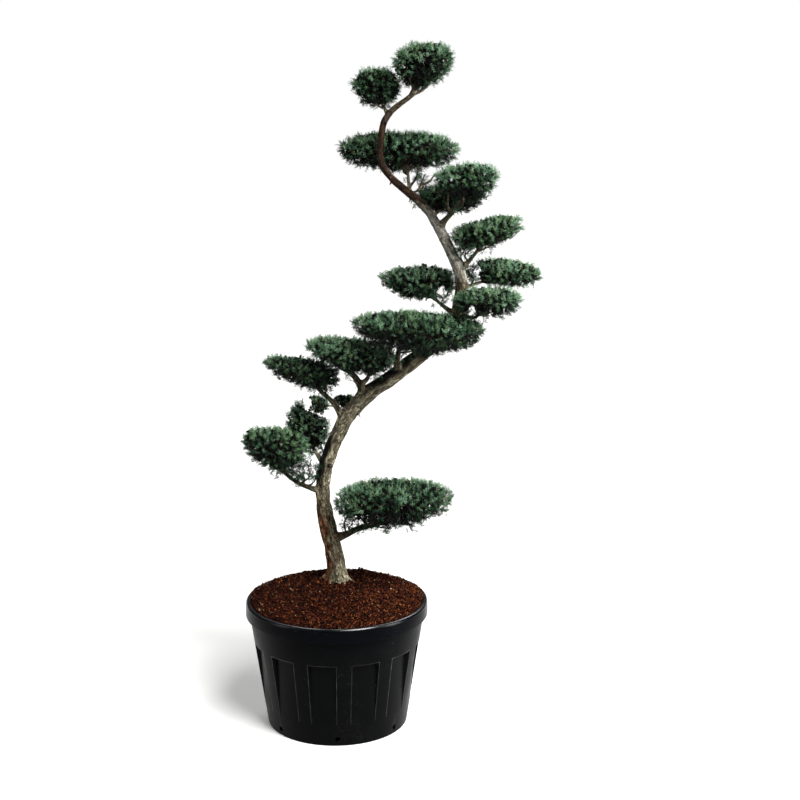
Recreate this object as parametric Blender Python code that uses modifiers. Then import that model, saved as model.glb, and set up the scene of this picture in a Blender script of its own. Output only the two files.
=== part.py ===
# Potted cypress trained as a cloud-pruned bonsai, in metres, with +Z up.
# The pot's axis is the Z axis and its flat underside lies at Z = 0.
# The front of the plant faces -Y and its crown leans towards +X.

import math
import random

import bmesh
import bpy
from mathutils import Matrix, Vector, noise

# Nursery pot
POT_HEIGHT = 0.550
POT_SIDES = 36
POT_TURN = math.radians(2)          # turns the facets so that their edges meet the panels' edges
BASE_RADIUS = 0.3065                # where the side wall starts, above the rounded corner
CORNER = 0.008
WALL_TOP = 0.488                    # height of the underside of the lip
WALL_TOP_RADIUS = 0.380
LIP_RADIUS = 0.397
LIP_MOUTH = 0.376                   # radius of the opening inside the lip
LIP_INSIDE = 0.486                  # height where the mouth starts to narrow inside
LIP_ROUNDING = 0.006
WALL = 0.004
FLOOR = 0.006
PANEL_COUNT = 12
PANEL_ANGLE = math.radians(20)
FIRST_PANEL = math.radians(22)      # from the front towards +X
PANEL_FOOT = 0.100
PANEL_TOP = 0.378
PANEL_DEPTH = 0.018
PANEL_BEVEL_OUTSIDE = 0.008
PANEL_BEVEL_INSIDE = 0.004
DRAIN_COUNT = 7
FIRST_DRAIN = math.radians(2.3)
DRAIN_HEIGHT = 0.032
DRAIN_RADIUS = 0.011
DRAIN_REACH = 0.030                 # length of the round cutter

# Potting mulch
SOIL_GAP = 0.001                    # to the pot's side wall
TOUCH = 0.0003                      # left between pieces that rest on each other
SOIL_EDGE = 0.541
SOIL_RINGS = 5
SOIL_LUMPS = 0.006
SOIL_LUMPS_PER_METRE = 14
FOOT = Vector((-0.004, 0.130, 0.590))
FOOT_PATCH = 0.110                  # radius of the level patch that the trunk stands on

# Trunk: x, y, z and girth across, at each bend from the foot to the tip
TRUNK = (
    (-0.004, 0.130, 0.590, 0.086),
    (-0.004, 0.130, 0.625, 0.083),
    (-0.016, 0.125, 0.720, 0.080),
    (-0.041, 0.115, 0.828, 0.074),
    (-0.061, 0.104, 0.965, 0.066),
    (-0.060, 0.098, 1.060, 0.063),
    (-0.026, 0.085, 1.188, 0.062),
    (0.012, 0.075, 1.278, 0.065),
    (0.044, 0.068, 1.344, 0.068),
    (0.124, 0.062, 1.438, 0.070),
    (0.222, 0.062, 1.508, 0.067),
    (0.383, 0.085, 1.630, 0.064),
    (0.500, 0.075, 1.740, 0.062),
    (0.534, 0.030, 1.875, 0.058),
    (0.532, 0.012, 1.960, 0.052),
    (0.508, 0.003, 2.030, 0.048),
    (0.443, 0.000, 2.162, 0.043),
    (0.378, -0.005, 2.259, 0.036),
    (0.240, -0.020, 2.380, 0.030),
    (0.196, -0.032, 2.460, 0.029),
    (0.203, -0.032, 2.575, 0.028),
    (0.233, -0.025, 2.644, 0.026),
    (0.330, -0.032, 2.724, 0.020),
    (0.376, -0.045, 2.784, 0.015),
)
FLARE_HEIGHT = 0.085
FLARE = 0.38                        # how much wider the foot is than the trunk above it
FLARE_LOBES = 5
FLARE_VALLEY = 0.10                 # spread between two lobes, as a share of the spread at one
TRUNK_STEP = 0.016                  # along a limb, between the points that masses keep clear of
BOUGH_STEP = 0.0075
STEPS_PER_RING = 4                  # and how many of them lie between two rings of its mesh
TRUNK_SIDES = 4                     # bevel resolutions, which give 12 and 6 sides
BOUGH_SIDES = 1
BURL = 0.05                         # unevenness of the wood, as a share of its radius
BURLS_PER_METRE = 16

# Boughs: the limb each grows from, the mass it carries, its girth at both ends and its bends.
# The first bend lies on the axis of the limb that it grows from.
BOUGHS = {
    "bough_low_right": ("trunk", "pad_low_right", 0.034, 0.021, (
        (-0.036, 0.118, 0.790), (0.024, 0.105, 0.800), (0.104, 0.085, 0.844),
        (0.191, 0.060, 0.873), (0.262, 0.035, 0.925))),
    "bough_low_left": ("trunk", "pad_low_left", 0.025, 0.014, (
        (-0.058, 0.100, 1.008), (-0.105, 0.092, 1.018), (-0.189, 0.070, 1.062),
        (-0.252, 0.035, 1.135))),
    "bough_left_crest": ("trunk", "pad_left_crest", 0.021, 0.014, (
        (-0.046, 0.090, 1.118), (-0.074, 0.106, 1.152), (-0.120, 0.140, 1.210))),
    "bough_mid_left": ("trunk", "pad_mid_left", 0.030, 0.015, (
        (0.040, 0.068, 1.335), (0.018, 0.062, 1.366), (-0.020, 0.068, 1.417),
        (-0.064, 0.075, 1.456), (-0.118, 0.080, 1.510))),
    "bough_tuft_left": ("bough_mid_left", "tuft_left", 0.008, 0.006, (
        (-0.004, 0.065, 1.396), (-0.030, 0.048, 1.398), (-0.070, 0.040, 1.404))),
    "bough_tuft_back": ("bough_mid_left", "tuft_back", 0.007, 0.006, (
        (-0.010, 0.066, 1.404), (0.004, 0.110, 1.402), (0.030, 0.150, 1.396))),
    "bough_middle": ("trunk", "pad_middle", 0.034, 0.014, (
        (0.120, 0.062, 1.434), (0.109, 0.048, 1.486), (0.068, 0.030, 1.545),
        (0.030, 0.022, 1.580), (0.020, 0.020, 1.640))),
    "spur_middle": ("bough_middle", "pad_middle", 0.019, 0.014, (
        (0.104, 0.046, 1.494), (0.128, 0.036, 1.512), (0.148, 0.028, 1.548),
        (0.152, 0.022, 1.590))),
    "bough_broad": ("trunk", "pad_broad", 0.030, 0.020, (
        (0.272, 0.070, 1.546), (0.264, 0.030, 1.600), (0.280, -0.040, 1.700))),
    "spur_broad": ("trunk", "pad_broad", 0.028, 0.018, (
        (0.400, 0.085, 1.646), (0.440, 0.030, 1.650), (0.492, -0.020, 1.690))),
    "bough_upper_left": ("trunk", "pad_upper_left", 0.021, 0.013, (
        (0.518, 0.056, 1.797), (0.488, 0.085, 1.808), (0.440, 0.110, 1.842),
        (0.395, 0.124, 1.870))),
    "bough_right_front": ("trunk", "pad_right_front", 0.019, 0.012, (
        (0.520, 0.052, 1.800), (0.558, -0.002, 1.796), (0.592, -0.050, 1.800),
        (0.632, -0.105, 1.850))),
    "bough_right_back": ("trunk", "pad_right_back", 0.018, 0.011, (
        (0.535, 0.024, 1.893), (0.562, 0.050, 1.915), (0.620, 0.090, 1.930),
        (0.690, 0.118, 1.950))),
    "bough_right_high": ("trunk", "pad_right_high", 0.022, 0.014, (
        (0.526, 0.008, 1.988), (0.548, -0.002, 2.012), (0.590, -0.006, 2.062),
        (0.640, -0.010, 2.130))),
    "bough_top_front": ("trunk", "pad_top_front", 0.028, 0.018, (
        (0.440, 0.000, 2.166), (0.456, -0.018, 2.196), (0.502, -0.055, 2.252),
        (0.535, -0.090, 2.330))),
    "bough_top_back": ("trunk", "pad_top_back", 0.019, 0.012, (
        (0.400, -0.003, 2.230), (0.428, 0.050, 2.226), (0.462, 0.110, 2.262))),
    "bough_top_left": ("trunk", "pad_top_left", 0.019, 0.012, (
        (0.330, -0.010, 2.300), (0.314, 0.030, 2.340), (0.306, 0.090, 2.440))),
    "bough_ball_left": ("trunk", "ball_left", 0.014, 0.010, (
        (0.229, -0.026, 2.636), (0.208, -0.006, 2.674), (0.188, 0.010, 2.730))),
}
TRUNK_TIP_MASS = "ball_crown"

# Clipped masses: the middle of the widest level, half widths along x and y, height above that
# level, depth below it, tilt in degrees (up towards +X) and how far the belly leans towards +X.
MASSES = {
    "pad_low_right": ((0.249, 0.030, 0.991), (0.262, 0.190), 0.076, 0.114, 1, -0.030),
    "pad_low_left": ((-0.265, -0.010, 1.252), (0.142, 0.120), 0.066, 0.128, -3, 0.035),
    "pad_left_crest": ((-0.130, 0.152, 1.277), (0.100, 0.098), 0.126, 0.104, 0, 0.010),
    "tuft_left": ((-0.078, 0.036, 1.408), (0.054, 0.045), 0.040, 0.042, -12, 0.010),
    "tuft_back": ((0.034, 0.152, 1.396), (0.052, 0.045), 0.034, 0.034, 0, 0.0),
    "pad_mid_left": ((-0.146, 0.085, 1.556), (0.170, 0.130), 0.044, 0.080, -10, 0.045),
    "pad_middle": ((0.061, 0.015, 1.650), (0.198, 0.145), 0.050, 0.098, -7, 0.055),
    "pad_broad": ((0.354, -0.105, 1.775), (0.284, 0.195), 0.050, 0.112, -3, 0.010),
    "pad_upper_left": ((0.350, 0.150, 1.939), (0.170, 0.135), 0.055, 0.096, 2, 0.040),
    "pad_right_front": ((0.638, -0.130, 1.884), (0.150, 0.118), 0.056, 0.070, 0, 0.0),
    "pad_right_back": ((0.732, 0.140, 1.966), (0.166, 0.122), 0.058, 0.060, -5, 0.0),
    "pad_right_high": ((0.637, -0.010, 2.169), (0.158, 0.128), 0.044, 0.078, 13, 0.0),
    "pad_top_front": ((0.546, -0.110, 2.382), (0.135, 0.118), 0.066, 0.096, 5, 0.0),
    "pad_top_back": ((0.487, 0.142, 2.290), (0.153, 0.122), 0.058, 0.072, 2, 0.0),
    "pad_top_left": ((0.267, 0.135, 2.490), (0.262, 0.160), 0.078, 0.092, 0, 0.0),
    "ball_left": ((0.184, 0.012, 2.757), (0.106, 0.098), 0.076, 0.084, 0, 0.0),
    "ball_crown": ((0.372, -0.045, 2.856), (0.132, 0.112), 0.078, 0.112, 9, -0.020),
}
DOME_POWER = 2.5                    # above 2 the form is flatter, with a fuller edge
BELLY_POWER = 2.1
SEED = 7

# Core, stem, twigs and sprays of each mass
CORE_INSET = 0.016                  # from the mass's edge to its core, along the level
CORE_LEAST = 0.70                   # but never less than this share of the mass's half width
CORE_DOME = 0.90                    # height and depth of the core, as a share of the mass's
CORE_LUMPS = 0.10
CORE_LUMP_SCALE = 2.6
CORE_LUMP_SHIFT = 9                 # moves the pattern on from mass to mass
CORE_MOST = 1.05                    # the furthest that a lump stands out
NEAR_CORE = 1.35                    # a limb nearer than this, as a share of the core, is cut clear
LIMB_MARGIN = 0.004                 # left between foliage and any limb
STEM_REACH = 0.024                  # a bough ends this far short of the core that it carries
TUFT_STEM_REACH = 0.008
SPUR_REACH = 0.003                  # the same for a second bough, which the mass has no stem for
STEM_STEP = 0.006
STEM_STEPS = 16
TWIG_COUNT = 4
TWIG_GIRTH = 0.008
TWIG_FIRST = 0.30                   # where the first leaves the stem, as a share of its length
TWIG_SPACING = 0.025                # and how much further along the next one does
TWIG_DROP = -0.55                   # direction that a twig's end lies in, from the middle of its mass
TWIG_REACH = (0.78, 0.90)           # and how far out in the core
TWIG_CLEAR = 0.15                   # share of a twig next to its stem that may lie close to a limb
SPRAY_SPACING = 0.084
SPRAY_LENGTH = 0.080
LONGEST_SPRAY = 1.3                 # longest spray, as a share of the usual length
SPRAY_SINK = 0.88                   # a spray's root lies at least this deep in the core
FULL_SPRAY_SIZE = 0.110             # a mass with less than this half width has smaller sprays
SPRAY_THICKNESS = 0.09              # share of its length
SPRAY_RIDGE = 0.28                  # where it is thickest, as a share of its length
SPRAY_TEETH = ((0.0, 0.0), (0.74, -0.28), (0.62, -0.08), (1.0, 0.0), (0.62, 0.08), (0.74, 0.28))
SPRAY_ROOT = 0.66                   # where a spray starts, as a share of the way out to the core
FURTHEST = ((1, 0, 0), (-1, 0, 0), (0, 1, 0), (0, -1, 0), (0, 0, 1))    # sprays set first
SPRAY_REACH = (0.98, 1.04)          # where its tip ends, as a share of the way out to the form
SPRAY_TRIES = 900
SPRAY_SWAY = 0.012
SPRAY_RISE = 0.006                  # how far a root lies below the line from its tip to the middle
SHOOTS = {
    "pad_left_crest": ((-0.190, 0.135, 1.380), (-0.152, 0.160, 1.406), (-0.226, 0.150, 1.346)),
    "pad_low_right": ((0.330, -0.020, 0.862), (0.130, 0.000, 0.868)),
    "pad_right_back": ((0.556, 0.160, 1.994), (0.570, 0.120, 1.948)),
    "pad_top_left": ((0.016, 0.120, 2.512),),
}
SHOOT_STEPS = 40
OWN_SPACE = 1.05                    # foliage stays inside this much of its mass's form
OTHER_SPACE = 1.08                  # and outside this much of any other's

# Colours, as linear RGB
BARK = (0.105, 0.078, 0.048)
FOLIAGE = (0.036, 0.110, 0.062)
PLASTIC = (0.006, 0.007, 0.008)
MULCH = (0.085, 0.026, 0.010)


def clear_scene():
    for obj in list(bpy.data.objects):
        bpy.data.objects.remove(obj, do_unlink=True)


def new_collection(name):
    collection = bpy.data.collections.new(name)
    bpy.context.scene.collection.children.link(collection)
    return collection


def new_material(name, colour, roughness, metallic=0.0):
    material = bpy.data.materials.new(name)
    material.use_nodes = True
    shader = material.node_tree.nodes["Principled BSDF"]
    shader.inputs["Base Color"].default_value = (*colour, 1.0)
    shader.inputs["Roughness"].default_value = roughness
    shader.inputs["Metallic"].default_value = metallic
    return material


def mesh_object(name, mesh, collection, material=None):
    obj = bpy.data.objects.new(name, mesh)
    collection.objects.link(obj)
    if material:
        mesh.materials.clear()
        mesh.materials.append(material)
    return obj


def object_from_bmesh(name, bm, collection, material=None):
    mesh = bpy.data.meshes.new(name)
    bm.to_mesh(mesh)
    bm.free()
    return mesh_object(name, mesh, collection, material)


def hide_helper(obj):
    obj.hide_render = True
    obj.display_type = "WIRE"


def discard(objects):
    for obj in list(objects):
        mesh = obj.data
        bpy.data.objects.remove(obj, do_unlink=True)
        bpy.data.meshes.remove(mesh)


def apply_modifiers(obj):
    bpy.context.view_layer.objects.active = obj
    for modifier in list(obj.modifiers):
        bpy.ops.object.modifier_apply(modifier=modifier.name)


def boolean_with(obj, collection, operation):
    """Cuts the collection's objects out of this one, or joins them to it."""
    modifier = obj.modifiers.new(operation.title(), "BOOLEAN")
    modifier.operation = operation
    modifier.operand_type = "COLLECTION"
    modifier.collection = collection
    modifier.solver = "EXACT"
    apply_modifiers(obj)


def triangulate(obj):
    bm = bmesh.new()
    bm.from_mesh(obj.data)
    bmesh.ops.triangulate(bm, faces=bm.faces)
    bm.to_mesh(obj.data)
    bm.free()


def smooth_by_angle(obj, degrees):
    obj.data.shade_smooth()
    obj.data.set_sharp_from_angle(angle=math.radians(degrees))


def wall_radius(z):
    """Outer radius of the pot's side wall, which widens evenly towards the lip."""
    share = (z - CORNER) / (WALL_TOP - CORNER)
    return BASE_RADIUS + share * (WALL_TOP_RADIUS - BASE_RADIUS)


def facing(angle):
    """Level direction at this angle from the front towards +X."""
    return Vector((math.sin(angle), -math.cos(angle), 0.0))


def turned(name, profile, collection):
    """Turns a profile of (radius, height) points about Z, outer side from the top down."""
    bm = bmesh.new()
    points = [bm.verts.new((radius, 0.0, z)) for radius, z in profile]
    for first, second in zip(points, points[1:]):
        bm.edges.new((first, second))
    obj = object_from_bmesh(name, bm, collection)
    screw = obj.modifiers.new("Screw", "SCREW")
    screw.axis = "Z"
    screw.angle = math.tau
    screw.steps = POT_SIDES
    screw.render_steps = POT_SIDES
    screw.use_merge_vertices = True
    screw.merge_threshold = 0.0001
    apply_modifiers(obj)
    obj.data.transform(Matrix.Rotation(POT_TURN, 4, "Z"))
    return obj


def dent_panels(obj, bevel, on_outer_side):
    """Presses the panels of the side wall inwards, deepest under their top ledge."""
    bm = bmesh.new()
    bm.from_mesh(obj.data)
    for index in range(PANEL_COUNT):
        middle = facing(FIRST_PANEL + index * math.tau / PANEL_COUNT)
        panel = []
        for face in bm.faces:
            centre = face.calc_center_median()
            level = Vector((centre.x, centre.y, 0.0))
            if not PANEL_FOOT < centre.z < PANEL_TOP or level.length < 0.5 * BASE_RADIUS:
                continue
            outer = face.normal.dot(level) > 0
            if level.angle(middle) < PANEL_ANGLE / 2 and outer == on_outer_side:
                panel.append(face)
        bmesh.ops.inset_region(bm, faces=panel, thickness=bevel, use_even_offset=True)
        for vertex in {vertex for face in panel for vertex in face.verts}:
            share = (vertex.co.z - PANEL_FOOT) / (PANEL_TOP - PANEL_FOOT)
            level = Vector((vertex.co.x, vertex.co.y, 0.0)).normalized()
            vertex.co -= level * PANEL_DEPTH * min(max(share, 0.0), 1.0)
    bmesh.ops.triangulate(bm, faces=bm.faces)
    bm.to_mesh(obj.data)
    bm.free()


def make_pot(parts, cutters, material):
    lip_edge = LIP_RADIUS - LIP_ROUNDING
    profile = [
        (0.0, FLOOR),
        (BASE_RADIUS - WALL - CORNER, FLOOR),
        (wall_radius(PANEL_FOOT) - WALL, PANEL_FOOT),
        (wall_radius(PANEL_TOP) - WALL, PANEL_TOP),
        (LIP_MOUTH, LIP_INSIDE),
        (LIP_MOUTH, POT_HEIGHT - LIP_ROUNDING),
        (LIP_MOUTH + LIP_ROUNDING, POT_HEIGHT),
        (lip_edge, POT_HEIGHT),
        (LIP_RADIUS, POT_HEIGHT - 2 * LIP_ROUNDING),
        (LIP_RADIUS, WALL_TOP + LIP_ROUNDING),
        (lip_edge, WALL_TOP),
        (WALL_TOP_RADIUS, WALL_TOP),
        (wall_radius(PANEL_TOP), PANEL_TOP),
        (wall_radius(PANEL_FOOT), PANEL_FOOT),
        (BASE_RADIUS, CORNER),
        (BASE_RADIUS - CORNER, 0.0),
        (0.0, 0.0),
    ]
    pot = turned("pot", profile, parts)
    pot.data.materials.append(material)
    dent_panels(pot, PANEL_BEVEL_OUTSIDE, True)
    dent_panels(pot, PANEL_BEVEL_INSIDE, False)
    for index in range(DRAIN_COUNT):
        outwards = facing(FIRST_DRAIN + index * math.tau / DRAIN_COUNT)
        bm = bmesh.new()
        bmesh.ops.create_cone(bm, cap_ends=True, segments=8, radius1=DRAIN_RADIUS,
                              radius2=DRAIN_RADIUS, depth=DRAIN_REACH)
        turn = outwards.to_track_quat("Z", "Y").to_matrix().to_4x4()
        place = Matrix.Translation(outwards * BASE_RADIUS + Vector((0, 0, DRAIN_HEIGHT)))
        bmesh.ops.transform(bm, matrix=place @ turn, verts=bm.verts)
        hide_helper(object_from_bmesh("drain_cutter", bm, cutters))
    boolean_with(pot, cutters, "DIFFERENCE")
    discard(cutters.objects)
    smooth_by_angle(pot, 35)
    return pot


def soil_ring(share):
    """Centre, radius and height of a ring of the mulch, from the trunk's patch to the edge."""
    centre = Vector((FOOT.x, FOOT.y)) * (1.0 - share)
    edge_radius = LIP_MOUTH - SOIL_GAP
    radius = FOOT_PATCH + share * (edge_radius - FOOT_PATCH)
    top = FOOT.z - TOUCH
    ease = 1.0 - (1.0 - share) ** 2
    return centre, radius, top + (SOIL_EDGE - top) * ease


def make_soil(parts, material):
    """A plug that fills the pot, under a low mound with a level patch for the trunk."""
    bm = bmesh.new()
    rings = []
    for index in range(SOIL_RINGS + 1):
        rings.append(soil_ring(index / SOIL_RINGS))
    sides = ((LIP_MOUTH - SOIL_GAP, LIP_INSIDE), (wall_radius(PANEL_TOP) - WALL - SOIL_GAP, PANEL_TOP),
             (wall_radius(PANEL_FOOT) - WALL - SOIL_GAP, PANEL_FOOT),
             (BASE_RADIUS - WALL - CORNER - SOIL_GAP, FLOOR + TOUCH))
    rings += [(Vector((0.0, 0.0)), radius, z) for radius, z in sides]
    loops = []
    for index, (centre, radius, z) in enumerate(rings):
        loop = []
        for side in range(POT_SIDES):
            angle = POT_TURN + side * math.tau / POT_SIDES
            point = Vector((centre.x, centre.y, z))
            point += radius * Vector((math.cos(angle), math.sin(angle), 0.0))
            if 0 < index < SOIL_RINGS:
                point.z += SOIL_LUMPS * noise.noise(point * SOIL_LUMPS_PER_METRE)
            loop.append(bm.verts.new(point))
        loops.append(loop)
    for upper, lower in zip(loops, loops[1:]):
        for side in range(POT_SIDES):
            after = (side + 1) % POT_SIDES
            bm.faces.new((upper[side], lower[side], lower[after], upper[after]))
    bm.faces.new(loops[0])
    bm.faces.new(reversed(loops[-1]))
    bm.normal_update()
    soil = object_from_bmesh("soil", bm, parts, material)
    dent_panels(soil, SOIL_GAP, True)
    smooth_by_angle(soil, 40)
    return soil


def smooth_route(bends, step):
    """Points (with any further values) along a smooth curve through the bends."""
    route = []
    for index in range(len(bends) - 1):
        first = bends[index]
        last = bends[index + 1]
        before = bends[index - 1] if index else [2 * a - b for a, b in zip(first, last)]
        after = bends[index + 2] if index + 2 < len(bends) else [2 * b - a for a, b in zip(first, last)]
        count = max(1, round((Vector(last[:3]) - Vector(first[:3])).length / step))
        for part in range(count):
            t = part / count
            item = []
            for a, b, c, d in zip(before, first, last, after):
                bend = (2 * a - 5 * b + 4 * c - d) * t * t + (3 * b - a - 3 * c + d) * t ** 3
                item.append(0.5 * (2 * b + (c - a) * t + bend))
            route.append(item)
    route.append(list(bends[-1]))
    return route


def limb_object(name, route, sides_setting, collection, material=None):
    """A round limb along (x, y, z, girth) points, from a curve with filled ends."""
    curve = bpy.data.curves.new(name, "CURVE")
    curve.dimensions = "3D"
    curve.bevel_depth = 1.0
    curve.bevel_resolution = sides_setting
    curve.use_fill_caps = True
    spline = curve.splines.new("POLY")
    spline.points.add(len(route) - 1)
    for point, (x, y, z, girth) in zip(spline.points, route):
        point.co = (x, y, z, 1.0)
        point.radius = girth / 2
    guide = bpy.data.objects.new(name + "_guide", curve)
    collection.objects.link(guide)
    bpy.context.view_layer.update()
    mesh = bpy.data.meshes.new_from_object(guide.evaluated_get(bpy.context.evaluated_depsgraph_get()))
    bpy.data.objects.remove(guide, do_unlink=True)
    bpy.data.curves.remove(curve)
    bm = bmesh.new()
    bm.from_mesh(mesh)
    bpy.data.meshes.remove(mesh)
    bmesh.ops.remove_doubles(bm, verts=bm.verts, dist=0.00001)
    bmesh.ops.recalc_face_normals(bm, faces=bm.faces)
    return object_from_bmesh(name, bm, collection, material)


def nearest(route, point):
    return min(route, key=lambda item: (Vector(item[:3]) - point).length_squared)


def roughen(obj, route):
    """Makes the round wood uneven, and spreads the trunk's foot into root lobes."""
    lobe = (1.0 - FLARE_VALLEY) / 2
    bm = bmesh.new()
    bm.from_mesh(obj.data)
    for vertex in bm.verts:
        x, y, z, girth = nearest(route, vertex.co)
        outwards = vertex.co - Vector((x, y, z))
        shift = BURL * noise.noise(vertex.co * BURLS_PER_METRE)
        above = vertex.co.z - FOOT.z
        if above < FLARE_HEIGHT:
            spread = (1.0 - max(above, 0.0) / FLARE_HEIGHT) ** 2
            angle = math.atan2(outwards.y, outwards.x)
            shift += FLARE * spread * (1.0 - lobe + lobe * math.cos(FLARE_LOBES * angle + 1.0))
            outwards.z = 0.0
        vertex.co += outwards * shift
        if above < TOUCH:
            vertex.co.z = FOOT.z
    bmesh.ops.triangulate(bm, faces=bm.faces)
    bm.to_mesh(obj.data)
    bm.free()


def grown_copy(obj, margin, collection):
    """A copy of a limb that is larger by a margin all round, to cut its neighbours with."""
    bm = bmesh.new()
    bm.from_mesh(obj.data)
    bm.normal_update()
    moves = [vertex.normal * margin for vertex in bm.verts]
    for vertex, move in zip(bm.verts, moves):
        vertex.co += move
    copy = object_from_bmesh(obj.name + "_cutter", bm, collection)
    hide_helper(copy)
    return copy


def keep_largest_body(obj):
    """Drops loose scraps and the walls of sealed hollows, which leaves one closed body."""
    bm = bmesh.new()
    bm.from_mesh(obj.data)
    unseen = set(bm.verts)
    bodies = []
    while unseen:
        body = set()
        front = [unseen.pop()]
        while front:
            vertex = front.pop()
            body.add(vertex)
            for edge in vertex.link_edges:
                other = edge.other_vert(vertex)
                if other in unseen:
                    unseen.remove(other)
                    front.append(other)
        bodies.append(body)
    largest = max(bodies, key=len)
    bmesh.ops.delete(bm, geom=[vertex for vertex in bm.verts if vertex not in largest], context="VERTS")
    bmesh.ops.triangulate(bm, faces=bm.faces)
    bm.to_mesh(obj.data)
    bm.free()


class Mass:
    """The form of one clipped mass: a low dome over a belly that narrows downwards."""

    def __init__(self, name):
        centre, (self.along, self.across), self.dome, self.belly, tilt, self.lean = MASSES[name]
        self.name = name
        self.centre = Vector(centre)
        self.turn = Matrix.Rotation(-math.radians(tilt), 3, "Y")
        self.random = random.Random(f"{SEED} {name}")

    def core(self):
        inner = Mass(self.name)
        inner.along = max(self.along - CORE_INSET, CORE_LEAST * self.along)
        inner.across = max(self.across - CORE_INSET, CORE_LEAST * self.across)
        inner.dome = self.dome * CORE_DOME
        inner.belly = self.belly * CORE_DOME
        inner.lean = self.lean * CORE_DOME
        return inner

    def point(self, direction, scale=1.0):
        """The point of the form's surface that this direction from its middle leads to."""
        power = DOME_POWER if direction.z > 0 else BELLY_POWER
        level = math.hypot(direction.x, direction.y)
        reach = scale / (level ** power + abs(direction.z) ** power) ** (1 / power)
        height = self.dome if direction.z > 0 else self.belly
        local = Vector((self.along * direction.x, self.across * direction.y, height * direction.z)) * reach
        local.x += self.lean * max(-local.z, 0.0) / self.belly
        return self.centre + self.turn @ local

    def depth(self, point):
        """0 at the middle of the form, 1 on its surface and more outside it."""
        local = self.turn.transposed() @ (point - self.centre)
        height = self.dome if local.z > 0 else self.belly
        local.x -= self.lean * max(-local.z, 0.0) / self.belly
        power = DOME_POWER if local.z > 0 else BELLY_POWER
        level = math.hypot(local.x / self.along, local.y / self.across)
        return (level ** power + abs(local.z / height) ** power) ** (1 / power)

    def random_direction(self):
        z = self.random.uniform(-1, 1)
        angle = self.random.uniform(0, math.tau)
        level = math.sqrt(1 - z * z)
        return Vector((level * math.cos(angle), level * math.sin(angle), z))


def clear_of_limbs(point, limbs):
    for route in limbs:
        for x, y, z, girth in route:
            if (Vector((x, y, z)) - point).length < girth / 2 + LIMB_MARGIN:
                return False
    return True


def has_room(mass, masses, limbs, points):
    """Whether all the points are in the mass's own space and clear of every limb."""
    for point in points:
        if mass.depth(point) > OWN_SPACE:
            return False
        if any(other.depth(point) < OTHER_SPACE for other in masses if other is not mass):
            return False
        if not clear_of_limbs(point, limbs):
            return False
    return True


def taper(name, start, end, radius_start, radius_end, sides, collection):
    """A straight twig with flat ends."""
    bm = bmesh.new()
    bmesh.ops.create_cone(bm, cap_ends=True, segments=sides, radius1=radius_start,
                          radius2=radius_end, depth=(end - start).length)
    turn = (end - start).to_track_quat("Z", "Y").to_matrix().to_4x4()
    bmesh.ops.transform(bm, matrix=Matrix.Translation((start + end) / 2) @ turn, verts=bm.verts)
    bmesh.ops.triangulate(bm, faces=bm.faces)
    return object_from_bmesh(name, bm, collection)


def spray_frame(root, tip, roll):
    """Matrix that lays a blade of unit length from the root to the tip."""
    length = (tip - root).length
    turn = (tip - root).to_track_quat("X", "Z").to_matrix().to_4x4() @ Matrix.Rotation(roll, 4, "X")
    return Matrix.Translation(root) @ turn @ Matrix.Scale(length, 4)


def spray(frame, collection):
    """A flat toothed blade, thickest at its ridge, in the frame of its root and tip."""
    bm = bmesh.new()
    bmesh.ops.create_uvsphere(bm, u_segments=len(SPRAY_TEETH), v_segments=2, radius=1.0)
    rim = sorted((vertex for vertex in bm.verts if abs(vertex.co.z) < 0.5),
                 key=lambda vertex: math.atan2(vertex.co.y, vertex.co.x))
    ends = [vertex for vertex in bm.verts if abs(vertex.co.z) > 0.5]
    for vertex, (reach, side) in zip(rim, SPRAY_TEETH):
        vertex.co = (reach, side, 0.0)
    for vertex in ends:
        vertex.co = (SPRAY_RIDGE, 0.0, math.copysign(SPRAY_THICKNESS / 2, vertex.co.z))
    bmesh.ops.transform(bm, matrix=frame, verts=bm.verts)
    bmesh.ops.recalc_face_normals(bm, faces=bm.faces)
    return object_from_bmesh("spray", bm, collection)


def steps_between(start, end, count):
    return [start.lerp(end, index / (count - 1)) for index in range(count)]


def grow_twigs(mass, core, masses, limbs, stem_start, stem_end, pieces):
    """Twigs that leave the stem in turn and spread up into the core."""
    for index in range(TWIG_COUNT):
        angle = index * math.tau / TWIG_COUNT + mass.random.uniform(-0.4, 0.4)
        direction = Vector((math.cos(angle), math.sin(angle), TWIG_DROP)).normalized()
        start = stem_start.lerp(stem_end, TWIG_FIRST + TWIG_SPACING * index)
        end = core.point(direction, mass.random.uniform(*TWIG_REACH))
        beyond = steps_between(start.lerp(end, TWIG_CLEAR), end, 7)
        if has_room(mass, masses, limbs, beyond):
            taper("twig", start, end, TWIG_GIRTH / 2, TWIG_GIRTH / 3, 3, pieces)


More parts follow.
